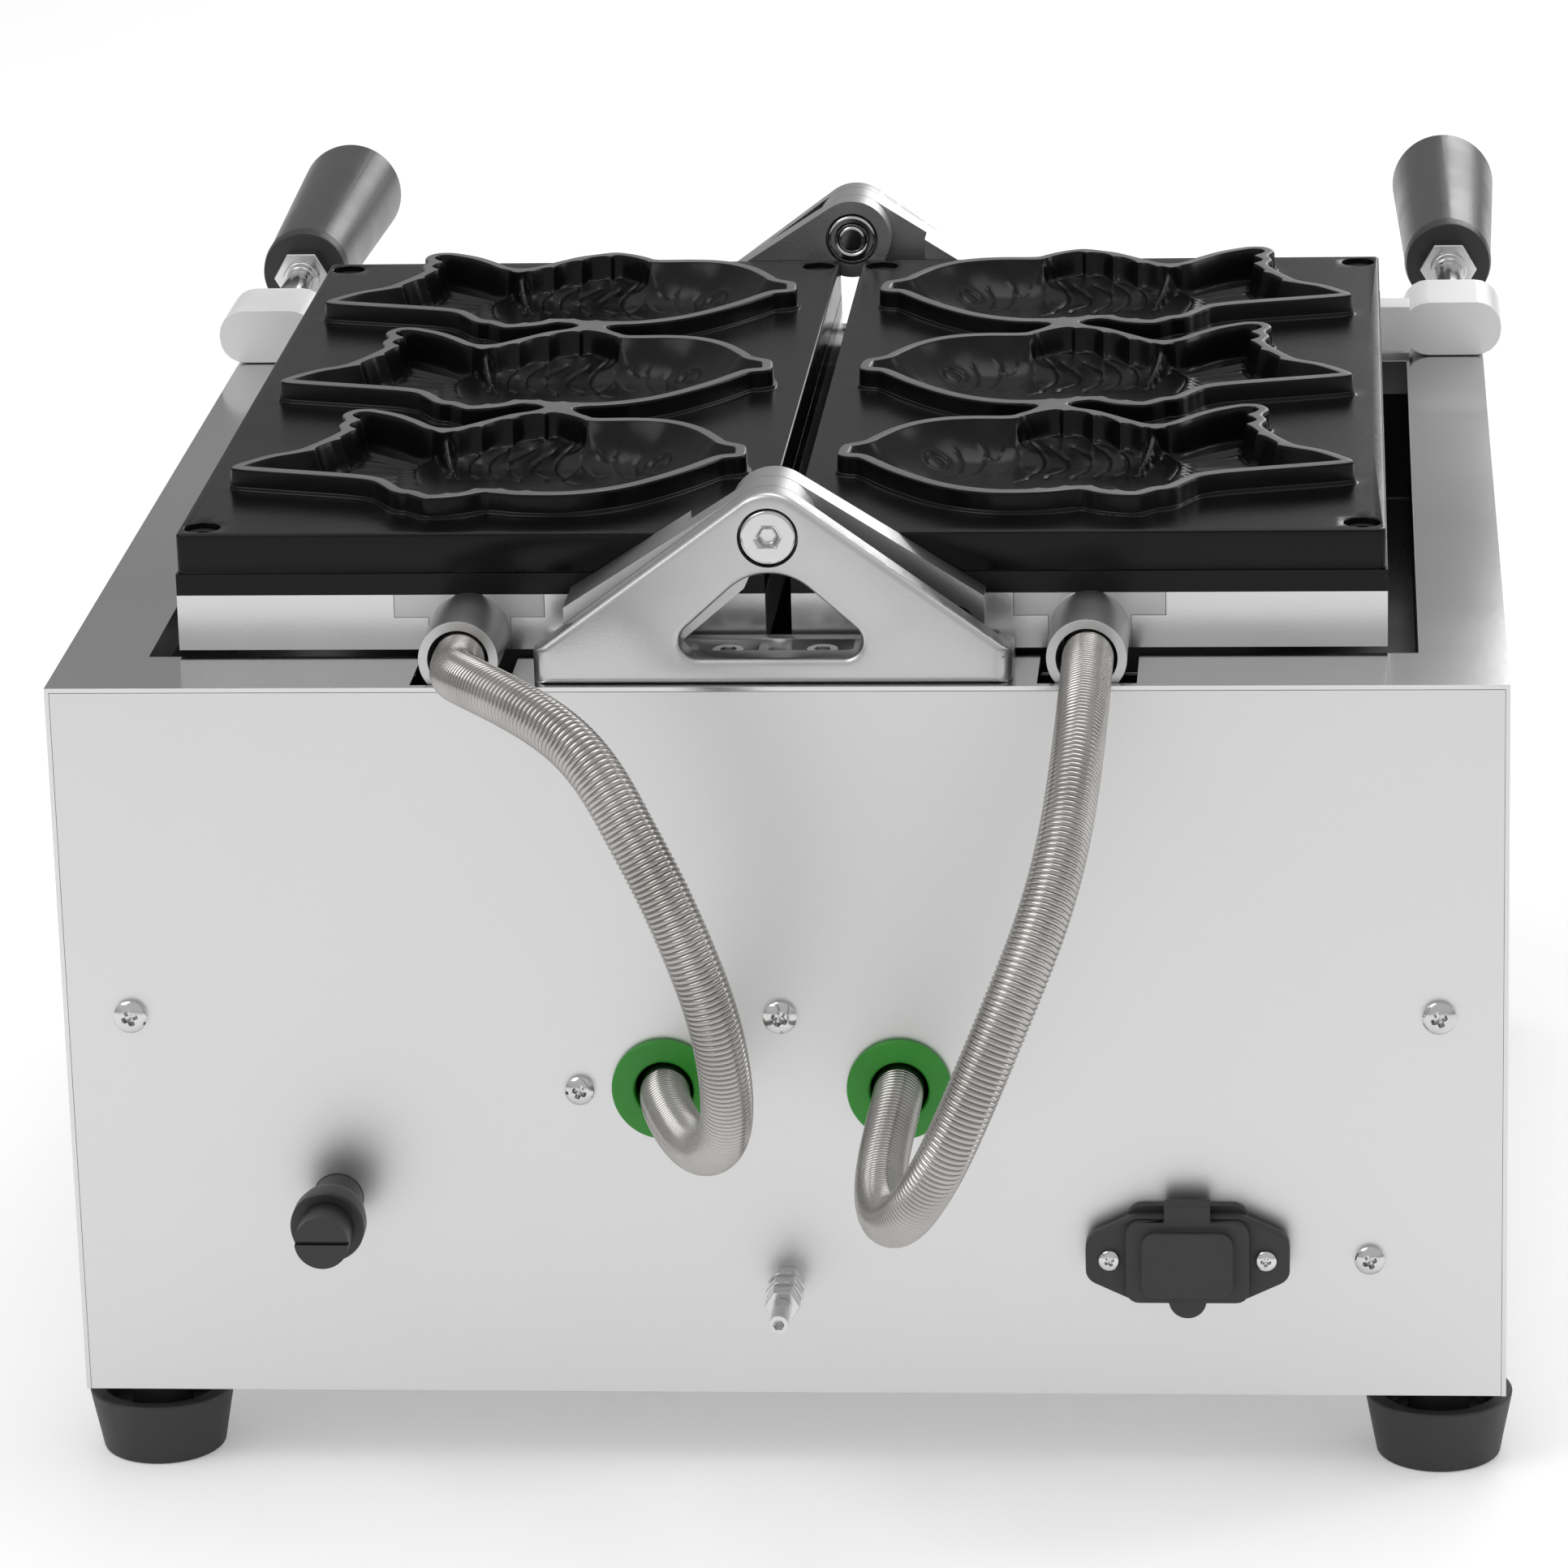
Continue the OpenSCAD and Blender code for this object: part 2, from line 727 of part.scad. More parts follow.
module bracket_screw() {
    translate([0, 0, body_h + pocket_floor_h]) difference() {
        cylinder(h = bracket_head_h, d1 = bracket_head_d, d2 = bracket_head_d - bracket_head_h);
        translate([0, 0, bracket_head_h - screw_hex_h / 2]) cylinder(h = over * 2, d = screw_hex_d, $fn = 6);
    }
    translate([0, 0, body_h - sheet_t - nut_h - over])
        cylinder(h = nut_h + sheet_t + pocket_floor_h + over, d = bracket_screw_d);
    translate([0, 0, body_h - sheet_t - nut_h]) difference() {
        cylinder(h = nut_h, d = nut_af_d, $fn = 6);
        translate([0, 0, -over]) cylinder(h = nut_h + 2 * over, d = bracket_screw_d + 2 * thread_gap);
    }
}

module bracket_screws() {
    color(steel) {
        bracket_screw_holes() bracket_screw();
        turned() bracket_screw_holes() bracket_screw();
    }
}

// Pivot bolt with its round nut, both sunk
module pivot_bolt() {
    nut_back = pan_y - run_gap;
    difference() {
        union() {
            bar(0, bracket_inset, pivot_z, bolt_head_h, bolt_head_d);
            bar(0, bracket_inset, pivot_z, nut_back - bracket_inset, bolt_d);
        }
        hex_bar(0, bracket_inset - over, pivot_z, bolt_hex_h + over, bolt_hex_d);
    }
    difference() {
        bar(0, nut_back - bolt_head_h, pivot_z, bolt_head_h, bolt_head_d);
        bar(0, nut_back - bolt_head_h - over, pivot_z, bolt_head_h + 2 * over, bolt_d + 2 * thread_gap);
    }
}

module rear_pivot_bolt() {
    color(steel) pivot_bolt();
}

module front_pivot_bolt() {
    color(steel) turned() pivot_bolt();
}

// Arms, drawn for the rear end of the right pan: profile about the pivot
module arm_profile() {
    e = [arm_end_x, -arm_end_drop];
    touch = nose_touch(e);
    polygon([
        touch, e, [arm_end_x, -arm_foot_drop], [arm_foot_x, -arm_foot_drop],
        [arm_waist_x, -arm_waist_drop], [0, 0]
    ]);
    circle(r = nose_r);
}

module arm_screw_cuts() {
    for (x = arm_screw_xs) {
        bar(x, 0, shell_z + arm_screw_rise, pan_y + over, screw_d + 2 * seat_gap);
        bar(x, 0, shell_z + arm_screw_rise, arm_inner_y + screw_head_h, screw_head_d + 2 * seat_gap);
    }
}

// Arm that turns against the pan's own end face
module inner_arm() {
    color(cast) difference() {
        union() {
            translate([0, 0, pivot_z]) slab(arm_inner_y, arm_t) arm_profile();
            intersection() {
                translate([0, 0, pivot_z]) slab(arm_inner_y, pan_y - arm_inner_y) arm_profile();
                translate([arm_thick_x, 0, 0]) cube([arm_end_x, pan_y, heater_z]);
            }
        }
        bar(0, 0, pivot_z, pan_y + over, bolt_d + 2 * pivot_gap);
        bar(0, pan_y - run_gap - bolt_head_h - run_gap, pivot_z, pan_y, bolt_sink_d);
        arm_screw_cuts();
    }
}

// Arm that turns in the outer layer and steps in to the pan beside the other arm's nose
module outer_arm() {
    color(cast) difference() {
        union() {
            translate([0, 0, pivot_z]) slab(arm_y, arm_t) arm_profile();
            intersection() {
                translate([0, 0, pivot_z]) slab(arm_y, pan_y - run_gap - arm_y) arm_profile();
                translate([arm_thick_x, 0, 0]) cube([arm_end_x, pan_y, pivot_z]);
            }
            intersection() {
                translate([0, 0, pivot_z]) slab(arm_y, pan_y - arm_y) arm_profile();
                translate([arm_thick_x, 0, 0]) cube([arm_end_x, pan_y, heater_z]);
            }
        }
        bar(0, 0, pivot_z, pan_y + over, bolt_d + 2 * pivot_gap);
        arm_screw_cuts();
    }
}

// Pan layers, drawn for the right pan
module plate_screw_places() {
    for (x = [pan_in + plate_screw_in, pan_out - plate_screw_in])
        for (y = [pan_y + plate_screw_end, pan_y + pan_d - plate_screw_end])
            translate([x, y, 0]) children();
}

module at_fish(row) {
    translate([pan_in + nose_margin, body_d / 2 + row * fish_pitch, 0]) children();
}

module fish_outline(d) {
    polygon(inset(fish_outline_shares * fish_len, d));
}

module belly_outline() {
    polygon([
        for (i = [0:belly_sides - 1])
            let (a = 360 * i / belly_sides)
            fish_len * [
                belly_centre_shares.x + belly_reach_shares.x * cos(a),
                belly_centre_shares.y + belly_reach_shares.y * sin(a)
            ]
    ]);
}

module rim_webs() {
    for (row = [-1, 0]) at_fish(row)
        translate([web_at_share * fish_len - web_w / 2, web_from_share * fish_len, mould_z])
            cube([web_w, fish_pitch - (web_from_share + web_to_share) * fish_len, mould_t + rim_h]);
}

module mould_plate() {
    color(black) difference() {
        union() {
            translate([pan_in, pan_y, mould_z]) cube([pan_w, pan_d, mould_t]);
            for (row = [-1:1]) at_fish(row) translate([0, 0, mould_z])
                linear_extrude(height = mould_t + rim_h) fish_outline(0);
            rim_webs();
        }
        for (row = [-1:1]) at_fish(row) {
            translate([0, 0, rim_top - fin_depth]) linear_extrude(height = fin_depth + over)
                fish_outline(rim_w);
            translate([0, 0, rim_top - belly_depth]) linear_extrude(height = belly_depth) belly_outline();
        }
        plate_screw_places() {
            translate([0, 0, mould_z - over]) cylinder(h = mould_t + 2 * over, d = screw_d + 2 * seat_gap);
            translate([0, 0, mould_top - plate_sink_h]) cylinder(h = plate_sink_h + over, d = plate_sink_d);
        }
    }
}

module heater_plate() {
    color(black) difference() {
        translate([pan_in, pan_y, heater_z]) cube([pan_w + heater_proud, pan_d, heater_t]);
        plate_screw_places() translate([0, 0, heater_z - over])
            cylinder(h = heater_t + 2 * over, d = screw_d + 2 * seat_gap);
    }
}

module boss_plate_profile(gap) {
    translate([boss_x - boss_head_w / 2 - gap, heater_z - boss_head_h - gap])
        square([boss_head_w + 2 * gap, boss_head_h + 2 * gap]);
    translate([boss_x - boss_stem_w / 2 - gap, shell_z - gap])
        square([boss_stem_w + 2 * gap, shell_h]);
}

module base_shell() {
    color(cast) difference() {
        union() {
            difference() {
                translate([pan_in, pan_y, shell_z]) cube([pan_w + heater_proud, pan_d, shell_h]);
                translate([pan_in + shell_wall, pan_y + shell_wall, shell_z + shell_floor])
                    cube([pan_w + heater_proud - 2 * shell_wall, pan_d - 2 * shell_wall, shell_h]);
            }
            intersection() {
                plate_screw_places() translate([0, 0, shell_z]) cylinder(h = shell_h, d = post_d);
                translate([pan_in, pan_y, shell_z]) cube([pan_w, pan_d, shell_h]);
            }
            shell_pads();
            turned() mirrored() shell_pads();
        }
        plate_screw_places() translate([0, 0, shell_z + shell_floor])
            cylinder(h = shell_h, d = screw_d + 2 * thread_gap);
        slab(pan_y - over, shell_wall + 2 * over) boss_plate_profile(seat_gap);
        arm_tap_holes();
        turned() mirrored() arm_tap_holes();
        turned() mirrored() lug_tap_holes();
    }
}

// Inner pads that the arm screws bite into, behind the pan's end wall
module shell_pads() {
    first = arm_screw_xs[0] - post_d / 2;
    last = arm_screw_xs[1] + post_d / 2;
    translate([first, pan_y, shell_z]) cube([last - first, arm_pad_depth, shell_h]);
}

module arm_tap_holes() {
    for (x = arm_screw_xs)
        bar(x, pan_y - over, shell_z + arm_screw_rise, screw_len, screw_d + 2 * thread_gap);
}

module lug_tap_holes() {
    for (x = lug_screw_xs())
        bar(x, pan_y - over, lug_z, screw_len, screw_d + 2 * thread_gap);
}

function lug_screw_xs() = [pan_out - lug_from + post_d / 2, pan_out - post_d];

module hose_boss() {
    color(steel) difference() {
        union() {
            slab(pan_y, shell_wall) boss_plate_profile(0);
            bar(boss_x, boss_mouth_y, boss_z, pan_y - boss_mouth_y, boss_d);
        }
        bar(boss_x, boss_mouth_y - over, boss_z, pan_y - boss_mouth_y + over, boss_bore_d);
        bar(boss_x, pan_y - over, boss_z + boss_wire_rise, shell_wall + 2 * over, boss_wire_d);
    }
}

// Tubular heating element: four runs and three bends, clamped under the heater plate
module element_bend(x, y, turn) {
    translate([x, y, 0]) rotate([0, 0, turn]) rotate_extrude(angle = 180)
        translate([element_bend_r, 0]) circle(d = element_d);
}

module heating_element() {
    z = heater_z - seat_gap - element_d / 2;
    middle = pan_in + pan_w / 2;
    low = pan_y + element_end + element_bend_r;
    high = pan_y + pan_d - element_end - element_bend_r;
    color("dimgray") translate([0, 0, z]) {
        for (i = [-3:2:3]) bar(middle + i * element_bend_r, low, 0, high - low, element_d);
        element_bend(middle - 2 * element_bend_r, high, 0);
        element_bend(middle + 2 * element_bend_r, high, 0);
        element_bend(middle, low, 180);
        for (i = [-3, 3])
            bar(middle + i * element_bend_r, low - element_pin_len, 0, element_pin_len, element_pin_d);
    }
}

module socket_screw_along_y(x, y, z) {
    difference() {
        union() {
            bar(x, y, z, screw_head_h, screw_head_d);
            bar(x, y, z, screw_head_h + screw_len, screw_d);
        }
        hex_bar(x, y - over, z, screw_hex_h + over, screw_hex_d);
    }
}

module socket_screw_down() {
    difference() {
        union() {
            translate([0, 0, -screw_head_h]) cylinder(h = screw_head_h, d = screw_head_d);
            translate([0, 0, -screw_head_h - screw_len]) cylinder(h = screw_head_h + screw_len, d = screw_d);
        }
        translate([0, 0, -screw_hex_h]) cylinder(h = screw_hex_h + over, d = screw_hex_d, $fn = 6);
    }
}

module arm_screws() {
    for (x = arm_screw_xs) socket_screw_along_y(x, arm_inner_y, shell_z + arm_screw_rise);
}

module pan_socket_screws() {
    color(steel) {
        plate_screw_places() translate([0, 0, mould_top - plate_sink_h + screw_head_h]) intersection() {
            socket_screw_down();
            translate([-post_d, -post_d, -screw_head_h - mould_t - heater_t])
                cube([2 * post_d, 2 * post_d, screw_head_h + mould_t + heater_t]);
        }
        arm_screws();
        turned() mirrored() arm_screws();
        turned() mirrored() lug_screws();
    }
}

module lug_screws() {
    for (x = lug_screw_xs())
        socket_screw_along_y(x, pan_y - lug_bar_t, lug_z);
}

// Handle lug: a bar across the pan's front face, with a pad over the deck
module handle_lug() {
    start = pan_out - lug_from;
    color(cast) difference() {
        union() {
            translate([start, lug_y, lug_z - lug_pad_h / 2 + pan_clear])
                cube([lug_from, lug_bar_t, lug_pad_h - 2 * pan_clear]);
            translate([pan_out - lug_bar_r, pad_y, lug_z - lug_pad_h / 2 + pan_clear])
                cube([
                    lug_reach - lug_pad_w / 2 + 2 * lug_bar_r,
                    lug_bar_t - lug_step,
                    lug_pad_h - 2 * pan_clear
                ]);
            rounded_block(handle_x, pad_y, lug_z, lug_pad_w - 2 * lug_side_gap, lug_pad_d, lug_pad_h, lug_r);
        }
        bar(handle_x, pad_y + lug_bar_r, lug_z, lug_pad_d, stud_d + 2 * thread_gap);
        turned() mirrored() for (x = lug_screw_xs()) {
            bar(x, pan_y - lug_bar_t - over, lug_z, lug_bar_t + 2 * over, screw_d + 2 * seat_gap);
            bar(x, pan_y - lug_bar_t - over, lug_z, screw_head_h + over, screw_head_d + 2 * seat_gap);
        }
    }
}

module handle_stud() {
    color(steel) {
        bar(handle_x, pad_y + lug_bar_r + seat_gap, lug_z,
            grip_y + grip_bore_depth - pad_y - lug_bar_r - 2 * seat_gap, stud_d);
        bar(handle_x, pad_end_y + seat_gap, lug_z, stud_collar_t, stud_collar_d);
        bar(handle_x, nut_y - stud_collar_t - seat_gap, lug_z, stud_collar_t, stud_collar_d);
    }
}

module handle_nut() {
    color(steel) difference() {
        hex_bar(handle_x, nut_y, lug_z, grip_nut_t - seat_gap, grip_nut_d);
        bar(handle_x, nut_y - over, lug_z, grip_nut_t + 2 * over, stud_d + 2 * thread_gap);
    }
}

module handle_ferrule() {
    color(black) difference() {
        bar(handle_x, ferrule_y, lug_z, ferrule_t - seat_gap,
            grip_near_d - ferrule_proud, grip_near_d + ferrule_proud);
        bar(handle_x, ferrule_y - over, lug_z, ferrule_t + 2 * over, ferrule_hole_d);
    }
}

module handle_grip() {
    color([0.27, 0.27, 0.28]) difference() {
        union() {
            bar(handle_x, grip_y, lug_z, grip_len - grip_end_r, grip_near_d, grip_far_d);
            bar(handle_x, grip_y + grip_len - grip_end_r, lug_z, grip_end_r,
                grip_far_d, grip_far_d - 2 * grip_end_r);
        }
        bar(handle_x, grip_y - over, lug_z, grip_bore_depth + over, stud_d + 2 * seat_gap);
    }
}

// Rubber grommets in the rear panel
module hose_grommets() {
    color([0.13, 0.55, 0.13]) for (side = [-1, 1]) difference() {
        union() {
            bar(side * grommet_x, -grommet_proud, grommet_z, grommet_proud - seat_gap / 2, grommet_d);
            bar(side * grommet_x, -grommet_proud, grommet_z,
                grommet_proud + sheet_t + grommet_back_t, grommet_neck_d);
            bar(side * grommet_x, sheet_t + seat_gap / 2, grommet_z,
                grommet_back_t - seat_gap / 2, grommet_d - 2 * seat_gap);
        }
        bar(side * grommet_x, -grommet_proud - over, grommet_z,
            grommet_proud + sheet_t + grommet_back_t + 2 * over, grommet_hole_d);
    }
}

// Hoses: rings along a smooth curve through the route, ribbed outside, with a plain bore
function spline_at(p, t) =
    let (i = min(floor(t), len(p) - 4), s = t - i, r = 1 - s)
    (r * r * r * p[i] + (3 * s * s * s - 6 * s * s + 4) * p[i + 1]
        + (-3 * s * s * s + 3 * s * s + 3 * s + 1) * p[i + 2] + s * s * s * p[i + 3]) / 6;

// Even steps of length along the curve: parameters whose arc lengths are equally spaced
function fine_points(p, n) = [for (i = [0:n]) spline_at(p, (len(p) - 3) * i / n)];
function run_lengths(q, i = 0, total = 0) =
    i >= len(q) - 1 ? [total] : concat([total], run_lengths(q, i + 1, total + norm(q[i + 1] - q[i])));
function point_at(q, run, s, i = 0) =
    i >= len(q) - 2 || run[i + 1] >= s
        ? q[i] + (q[i + 1] - q[i]) * (s - run[i]) / (run[i + 1] - run[i])
        : point_at(q, run, s, i + 1);

function cross_unit(a, b) = unit(cross(a, b));

// One ring of points round c, square to direction d, turned alike along the hose
function ring(c, d, r) =
    let (side = cross_unit(d, hose_ring_side), up = cross(side, d))
    [for (k = [0:hose_sides - 1])
        c + r * (cos(360 * k / hose_sides) * side + sin(360 * k / hose_sides) * up)];

function hose_length(route) =
    let (q = fine_points(route, hose_steps * (len(route) - 3)))
    run_lengths(q)[len(q) - 1];

module ribbed_hose(route) {
    q = fine_points(route, hose_steps * (len(route) - 3));
    run = run_lengths(q);
    total = run[len(run) - 1];
    outer = 2 * hose_ribs + 1;
    stops = [for (i = [0:outer - 1]) total * i / (outer - 1)];
    crest = hose_d / 2;
    centres = [for (s = stops) point_at(q, run, s)];
    heads = [for (i = [0:outer - 1])
        unit(centres[min(i + 1, outer - 1)] - centres[max(i - 1, 0)])];
    outside = [for (i = [0:outer - 1]) each ring(centres[i], heads[i], crest - (i % 2) * hose_rib_depth)];
    bore_at = [for (i = [0:2 * hose_bore_step:outer - 1]) i];
    bore_list = bore_at[len(bore_at) - 1] == outer - 1 ? bore_at : concat(bore_at, [outer - 1]);
    inner = len(bore_list);
    inside = [for (i = bore_list) each ring(centres[i], heads[i], crest - hose_wall - hose_rib_depth)];
    n = hose_sides;
    base = len(outside);
    faces = concat(
        [for (i = [0:outer - 2], k = [0:n - 1]) [i * n + k, i * n + (k + 1) % n, (i + 1) * n + k]],
        [for (i = [0:outer - 2], k = [0:n - 1])
            [i * n + (k + 1) % n, (i + 1) * n + (k + 1) % n, (i + 1) * n + k]],
        [for (i = [0:inner - 2], k = [0:n - 1])
            [base + i * n + (k + 1) % n, base + i * n + k, base + (i + 1) * n + k]],
        [for (i = [0:inner - 2], k = [0:n - 1])
            [base + (i + 1) * n + (k + 1) % n, base + i * n + (k + 1) % n, base + (i + 1) * n + k]],
        [for (k = [0:n - 1]) [(k + 1) % n, k, base + k]],
        [for (k = [0:n - 1]) [base + (k + 1) % n, (k + 1) % n, base + k]],
        [for (k = [0:n - 1])
            [(outer - 1) * n + k, (outer - 1) * n + (k + 1) % n, base + (inner - 1) * n + k]],
        [for (k = [0:n - 1])
            [(outer - 1) * n + (k + 1) % n, base + (inner - 1) * n + (k + 1) % n, base + (inner - 1) * n + k]]
    );
    polyhedron(points = concat(outside, inside), faces = faces, convexity = 10);
}

module left_hose() {
    echo(left_hose_length = hose_length(left_route));
    color("darkgray") ribbed_hose(left_route);
}

module right_hose() {
    echo(right_hose_length = hose_length(right_route));
    color("darkgray") ribbed_hose(right_route);
}

// Screws of the rear and front panels, with their nuts inside
module panel_screw(x, z, head_d, reach) {
    bar(x, -panel_head_h - seat_gap / 2, z, panel_head_h, panel_head_top_d, head_d);
    bar(x, -seat_gap, z, reach + nut_h + over, panel_screw_d);
    difference() {
        hex_bar(x, reach + seat_gap / 2, z, nut_h, nut_af_d);
        bar(x, reach - over, z, nut_h + 2 * over, panel_screw_d + 2 * thread_gap);
    }
}

module panel_screws() {
    edge = body_w / 2 - panel_screw_inset;
    color(steel) {
        for (side = [-1, 1]) panel_screw(side * edge, panel_screw_z, panel_head_d, 2 * sheet_t + seat_gap);
        panel_screw(0, panel_screw_z, panel_head_d, sheet_t);
        panel_screw(clamp_screw_x, clamp_screw_z, small_head_d, sheet_t);
        panel_screw(inner_screw_x, inner_screw_z, small_head_d, sheet_t);
        turned() for (side = [-1, 1], z = [front_screw_z, body_h - front_screw_z])
            panel_screw(side * edge, z, small_head_d, 2 * sheet_t + seat_gap);
    }
}

// Fuse holder: barrel through the panel, collar, flange and nut
module fuse_holder() {
    color(rubber) difference() {
        union() {
            bar(fuse_x, -fuse_barrel_out, fuse_z, fuse_barrel_out + fuse_barrel_in, fuse_barrel_d);
            bar(fuse_x, -fuse_barrel_out - fuse_collar_t, fuse_z, fuse_collar_t,
                fuse_flange_d, fuse_collar_d);
            bar(fuse_x, fuse_flange_y - fuse_flange_t, fuse_z, fuse_flange_t, fuse_flange_d);
            bar(fuse_x, sheet_t + seat_gap, fuse_z, fuse_nut_t, fuse_nut_d);
        }
        bar(fuse_x, fuse_flange_y - fuse_flange_t - over, fuse_z,
            fuse_out + fuse_barrel_in - fuse_cap_len - 2 * sheet_t + over, fuse_bore_d);
    }
}

module fuse_cap() {
    cap_y = -fuse_out;
    color(rubber) difference() {
        union() {
            bar(fuse_x, cap_y, fuse_z, fuse_cap_len - run_gap, fuse_cap_d);
            bar(fuse_x, cap_y, fuse_z, fuse_cap_len + fuse_stem_len, fuse_stem_d);
        }
        translate([fuse_x - fuse_cap_d / 2, cap_y - over, fuse_z - fuse_slot_w / 2])
            cube([fuse_cap_d, fuse_slot_h + over, fuse_slot_w]);
        bar(fuse_x, cap_y + fuse_cap_len, fuse_z, fuse_stem_len + over, fuse_socket_d);
    }
}

module glass_fuse() {
    y = -fuse_out + fuse_cap_len + seat_gap;
    color(steel) {
        bar(fuse_x, y, fuse_z, fuse_ferrule_len, fuse_ferrule_d);
        bar(fuse_x, y + fuse_len - fuse_ferrule_len, fuse_z, fuse_ferrule_len, fuse_ferrule_d);
    }
    color("lightblue")
        bar(fuse_x, y + fuse_ferrule_len / 2, fuse_z, fuse_len - fuse_ferrule_len, fuse_glass_d);
}

// Power inlet
module lozenge() {
    translate([inlet_x, inlet_z]) polygon(rounded([
        [-lozenge_half_w, -lozenge_end_half_h], [-lozenge_mid_half_w, -lozenge_half_h],
        [lozenge_mid_half_w, -lozenge_half_h], [lozenge_half_w, -lozenge_end_half_h],
        [lozenge_half_w, lozenge_end_half_h], [lozenge_mid_half_w, lozenge_half_h],
        [-lozenge_mid_half_w, lozenge_half_h], [-lozenge_half_w, lozenge_end_half_h]
    ], lozenge_r));
}

module socket_mouth() {
    translate([inlet_x, inlet_z]) square([socket_lip_w, socket_h - 2 * socket_wall], center = true);
}

module inlet_screw_cuts(y, t) {
    for (side = [-1, 1])
        bar(inlet_x + side * inlet_screw_half, y - over, inlet_z, t + 2 * over, inlet_screw_d + seat_gap);
}

module inlet_gasket() {
    color(rubber) slab(-gasket_t, gasket_t - seat_gap / 2) difference() {
        translate([inlet_x, inlet_z]) polygon(rounded(box_points(gasket_w, gasket_h), gasket_r));
        translate([inlet_x, inlet_z])
            square([socket_w + 2 * seat_gap, socket_h + 2 * seat_gap], center = true);
    }
}

module inlet_socket() {
    depth = socket_depth - flange_y;
    color(rubber) difference() {
        union() {
            slab(flange_y, inlet_flange_t) lozenge();
            translate([inlet_x, 0, inlet_z]) slab(flange_y, depth)
                square([socket_w, socket_h], center = true);
        }
        slab(flange_y - over, depth - socket_back + over) socket_mouth();
        inlet_screw_cuts(flange_y, inlet_flange_t);
    }
    color(steel) for (at = [[-pin_spread, -pin_rise], [pin_spread, -pin_rise], [0, pin_rise]])
        translate([
            inlet_x + at.x - pin_w / 2,
            socket_depth - socket_back - pin_len,
            inlet_z + at.y - pin_h / 2
        ]) cube([pin_w, pin_len + socket_back, pin_h]);
}

module inlet_frame() {
    color(rubber) difference() {
        slab(frame_y, frame_t) difference() {
            lozenge();
            socket_mouth();
        }
        inlet_screw_cuts(frame_y, frame_t);
    }
}

// Flap that hangs from its knuckle above the frame
module inlet_flap() {
    strap_top = knuckle_z + knuckle_d / 2;
    color(rubber) {
        rounded_block(inlet_x, flap_y, inlet_z, flap_w, flap_t, flap_h, flap_r);
        rounded_block(inlet_x, flap_y - flap_pad_t, inlet_z,
            flap_pad_w, flap_pad_t + flap_t / 2, flap_pad_h, flap_r);
        bar(inlet_x, flap_y, inlet_z - flap_h / 2 + flap_tab_drop, flap_t, flap_tab_d);
        translate([inlet_x - strap_w / 2, flap_y, inlet_z]) cube([strap_w, strap_t, strap_top - inlet_z]);
        translate([inlet_x - strap_w / 2, flap_y, strap_top - strap_t])
            cube([strap_w, knuckle_y - flap_y, strap_t]);
        translate([inlet_x - strap_w / 2, knuckle_y, knuckle_z]) rotate([0, 90, 0])
            cylinder(h = strap_w, d = knuckle_d);
    }
}

module inlet_screws() {
    reach = sheet_t + seat_gap / 2;
    color(steel) for (side = [-1, 1]) {
        x = inlet_x + side * inlet_screw_half;
        bar(x, frame_y - inlet_head_h, inlet_z, inlet_head_h - seat_gap / 2, inlet_head_d);
        bar(x, frame_y - inlet_head_h / 2, inlet_z,
            reach - frame_y + inlet_head_h + inlet_nut_t, inlet_screw_d);
        difference() {
            hex_bar(x, reach, inlet_z, inlet_nut_t, inlet_nut_d);
            bar(x, reach - over, inlet_z, inlet_nut_t + 2 * over, inlet_screw_d + 2 * thread_gap);
        }
    }
}

// Ground stud: head inside, clamped by the first nut, with two more nuts for the customer's wire
module ground_stud() {
    color(steel) difference() {
        union() {
            bar(0, -ground_out, ground_z, ground_free, ground_d);
            bar(0, -ground_out, ground_z, ground_out + sheet_t + seat_gap + ground_head_t, ground_shank_d);
            hex_bar(0, sheet_t + seat_gap, ground_z, ground_head_t, ground_head_d);
        }
        hex_bar(0, -ground_out - over, ground_z, ground_hex_h + over, ground_hex_d);
    }
}

module ground_nuts() {
    step = ground_nut_t + ground_washer_t + 2 * seat_gap;
    color(steel) for (i = [0:2]) {
        difference() {
            hex_bar(0, -(seat_gap / 2 + ground_nut_t + i * step), ground_z, ground_nut_t, ground_nut_d);
            bar(0, -(over + ground_nut_t + i * step), ground_z,
                ground_nut_t + 2 * over, ground_shank_d + 2 * thread_gap);
        }
        if (i < 2) difference() {
            bar(0, -(i + 1) * step + seat_gap / 2, ground_z, ground_washer_t, ground_washer_d);
            bar(0, -(i + 1) * step - over, ground_z, ground_washer_t + 2 * over, ground_shank_d + 2 * thread_gap);
        }
    }
}

// Controls: thermostat on the operator's left, timer on the right
module control_body(x, w, t) {
    back = body_d - sheet_t - seat_gap;
    difference() {
        union() {
            translate([x - w / 2, back - t, knob_z - w / 2]) cube([w, t, w]);
            bar(x, back - over, knob_z, over + seat_gap + sheet_t + bush_h, bush_d);
        }
        bar(x, back - t - over, knob_z, t + bush_h + sheet_t + 3 * over, spindle_d + 2 * pivot_gap);
    }
}

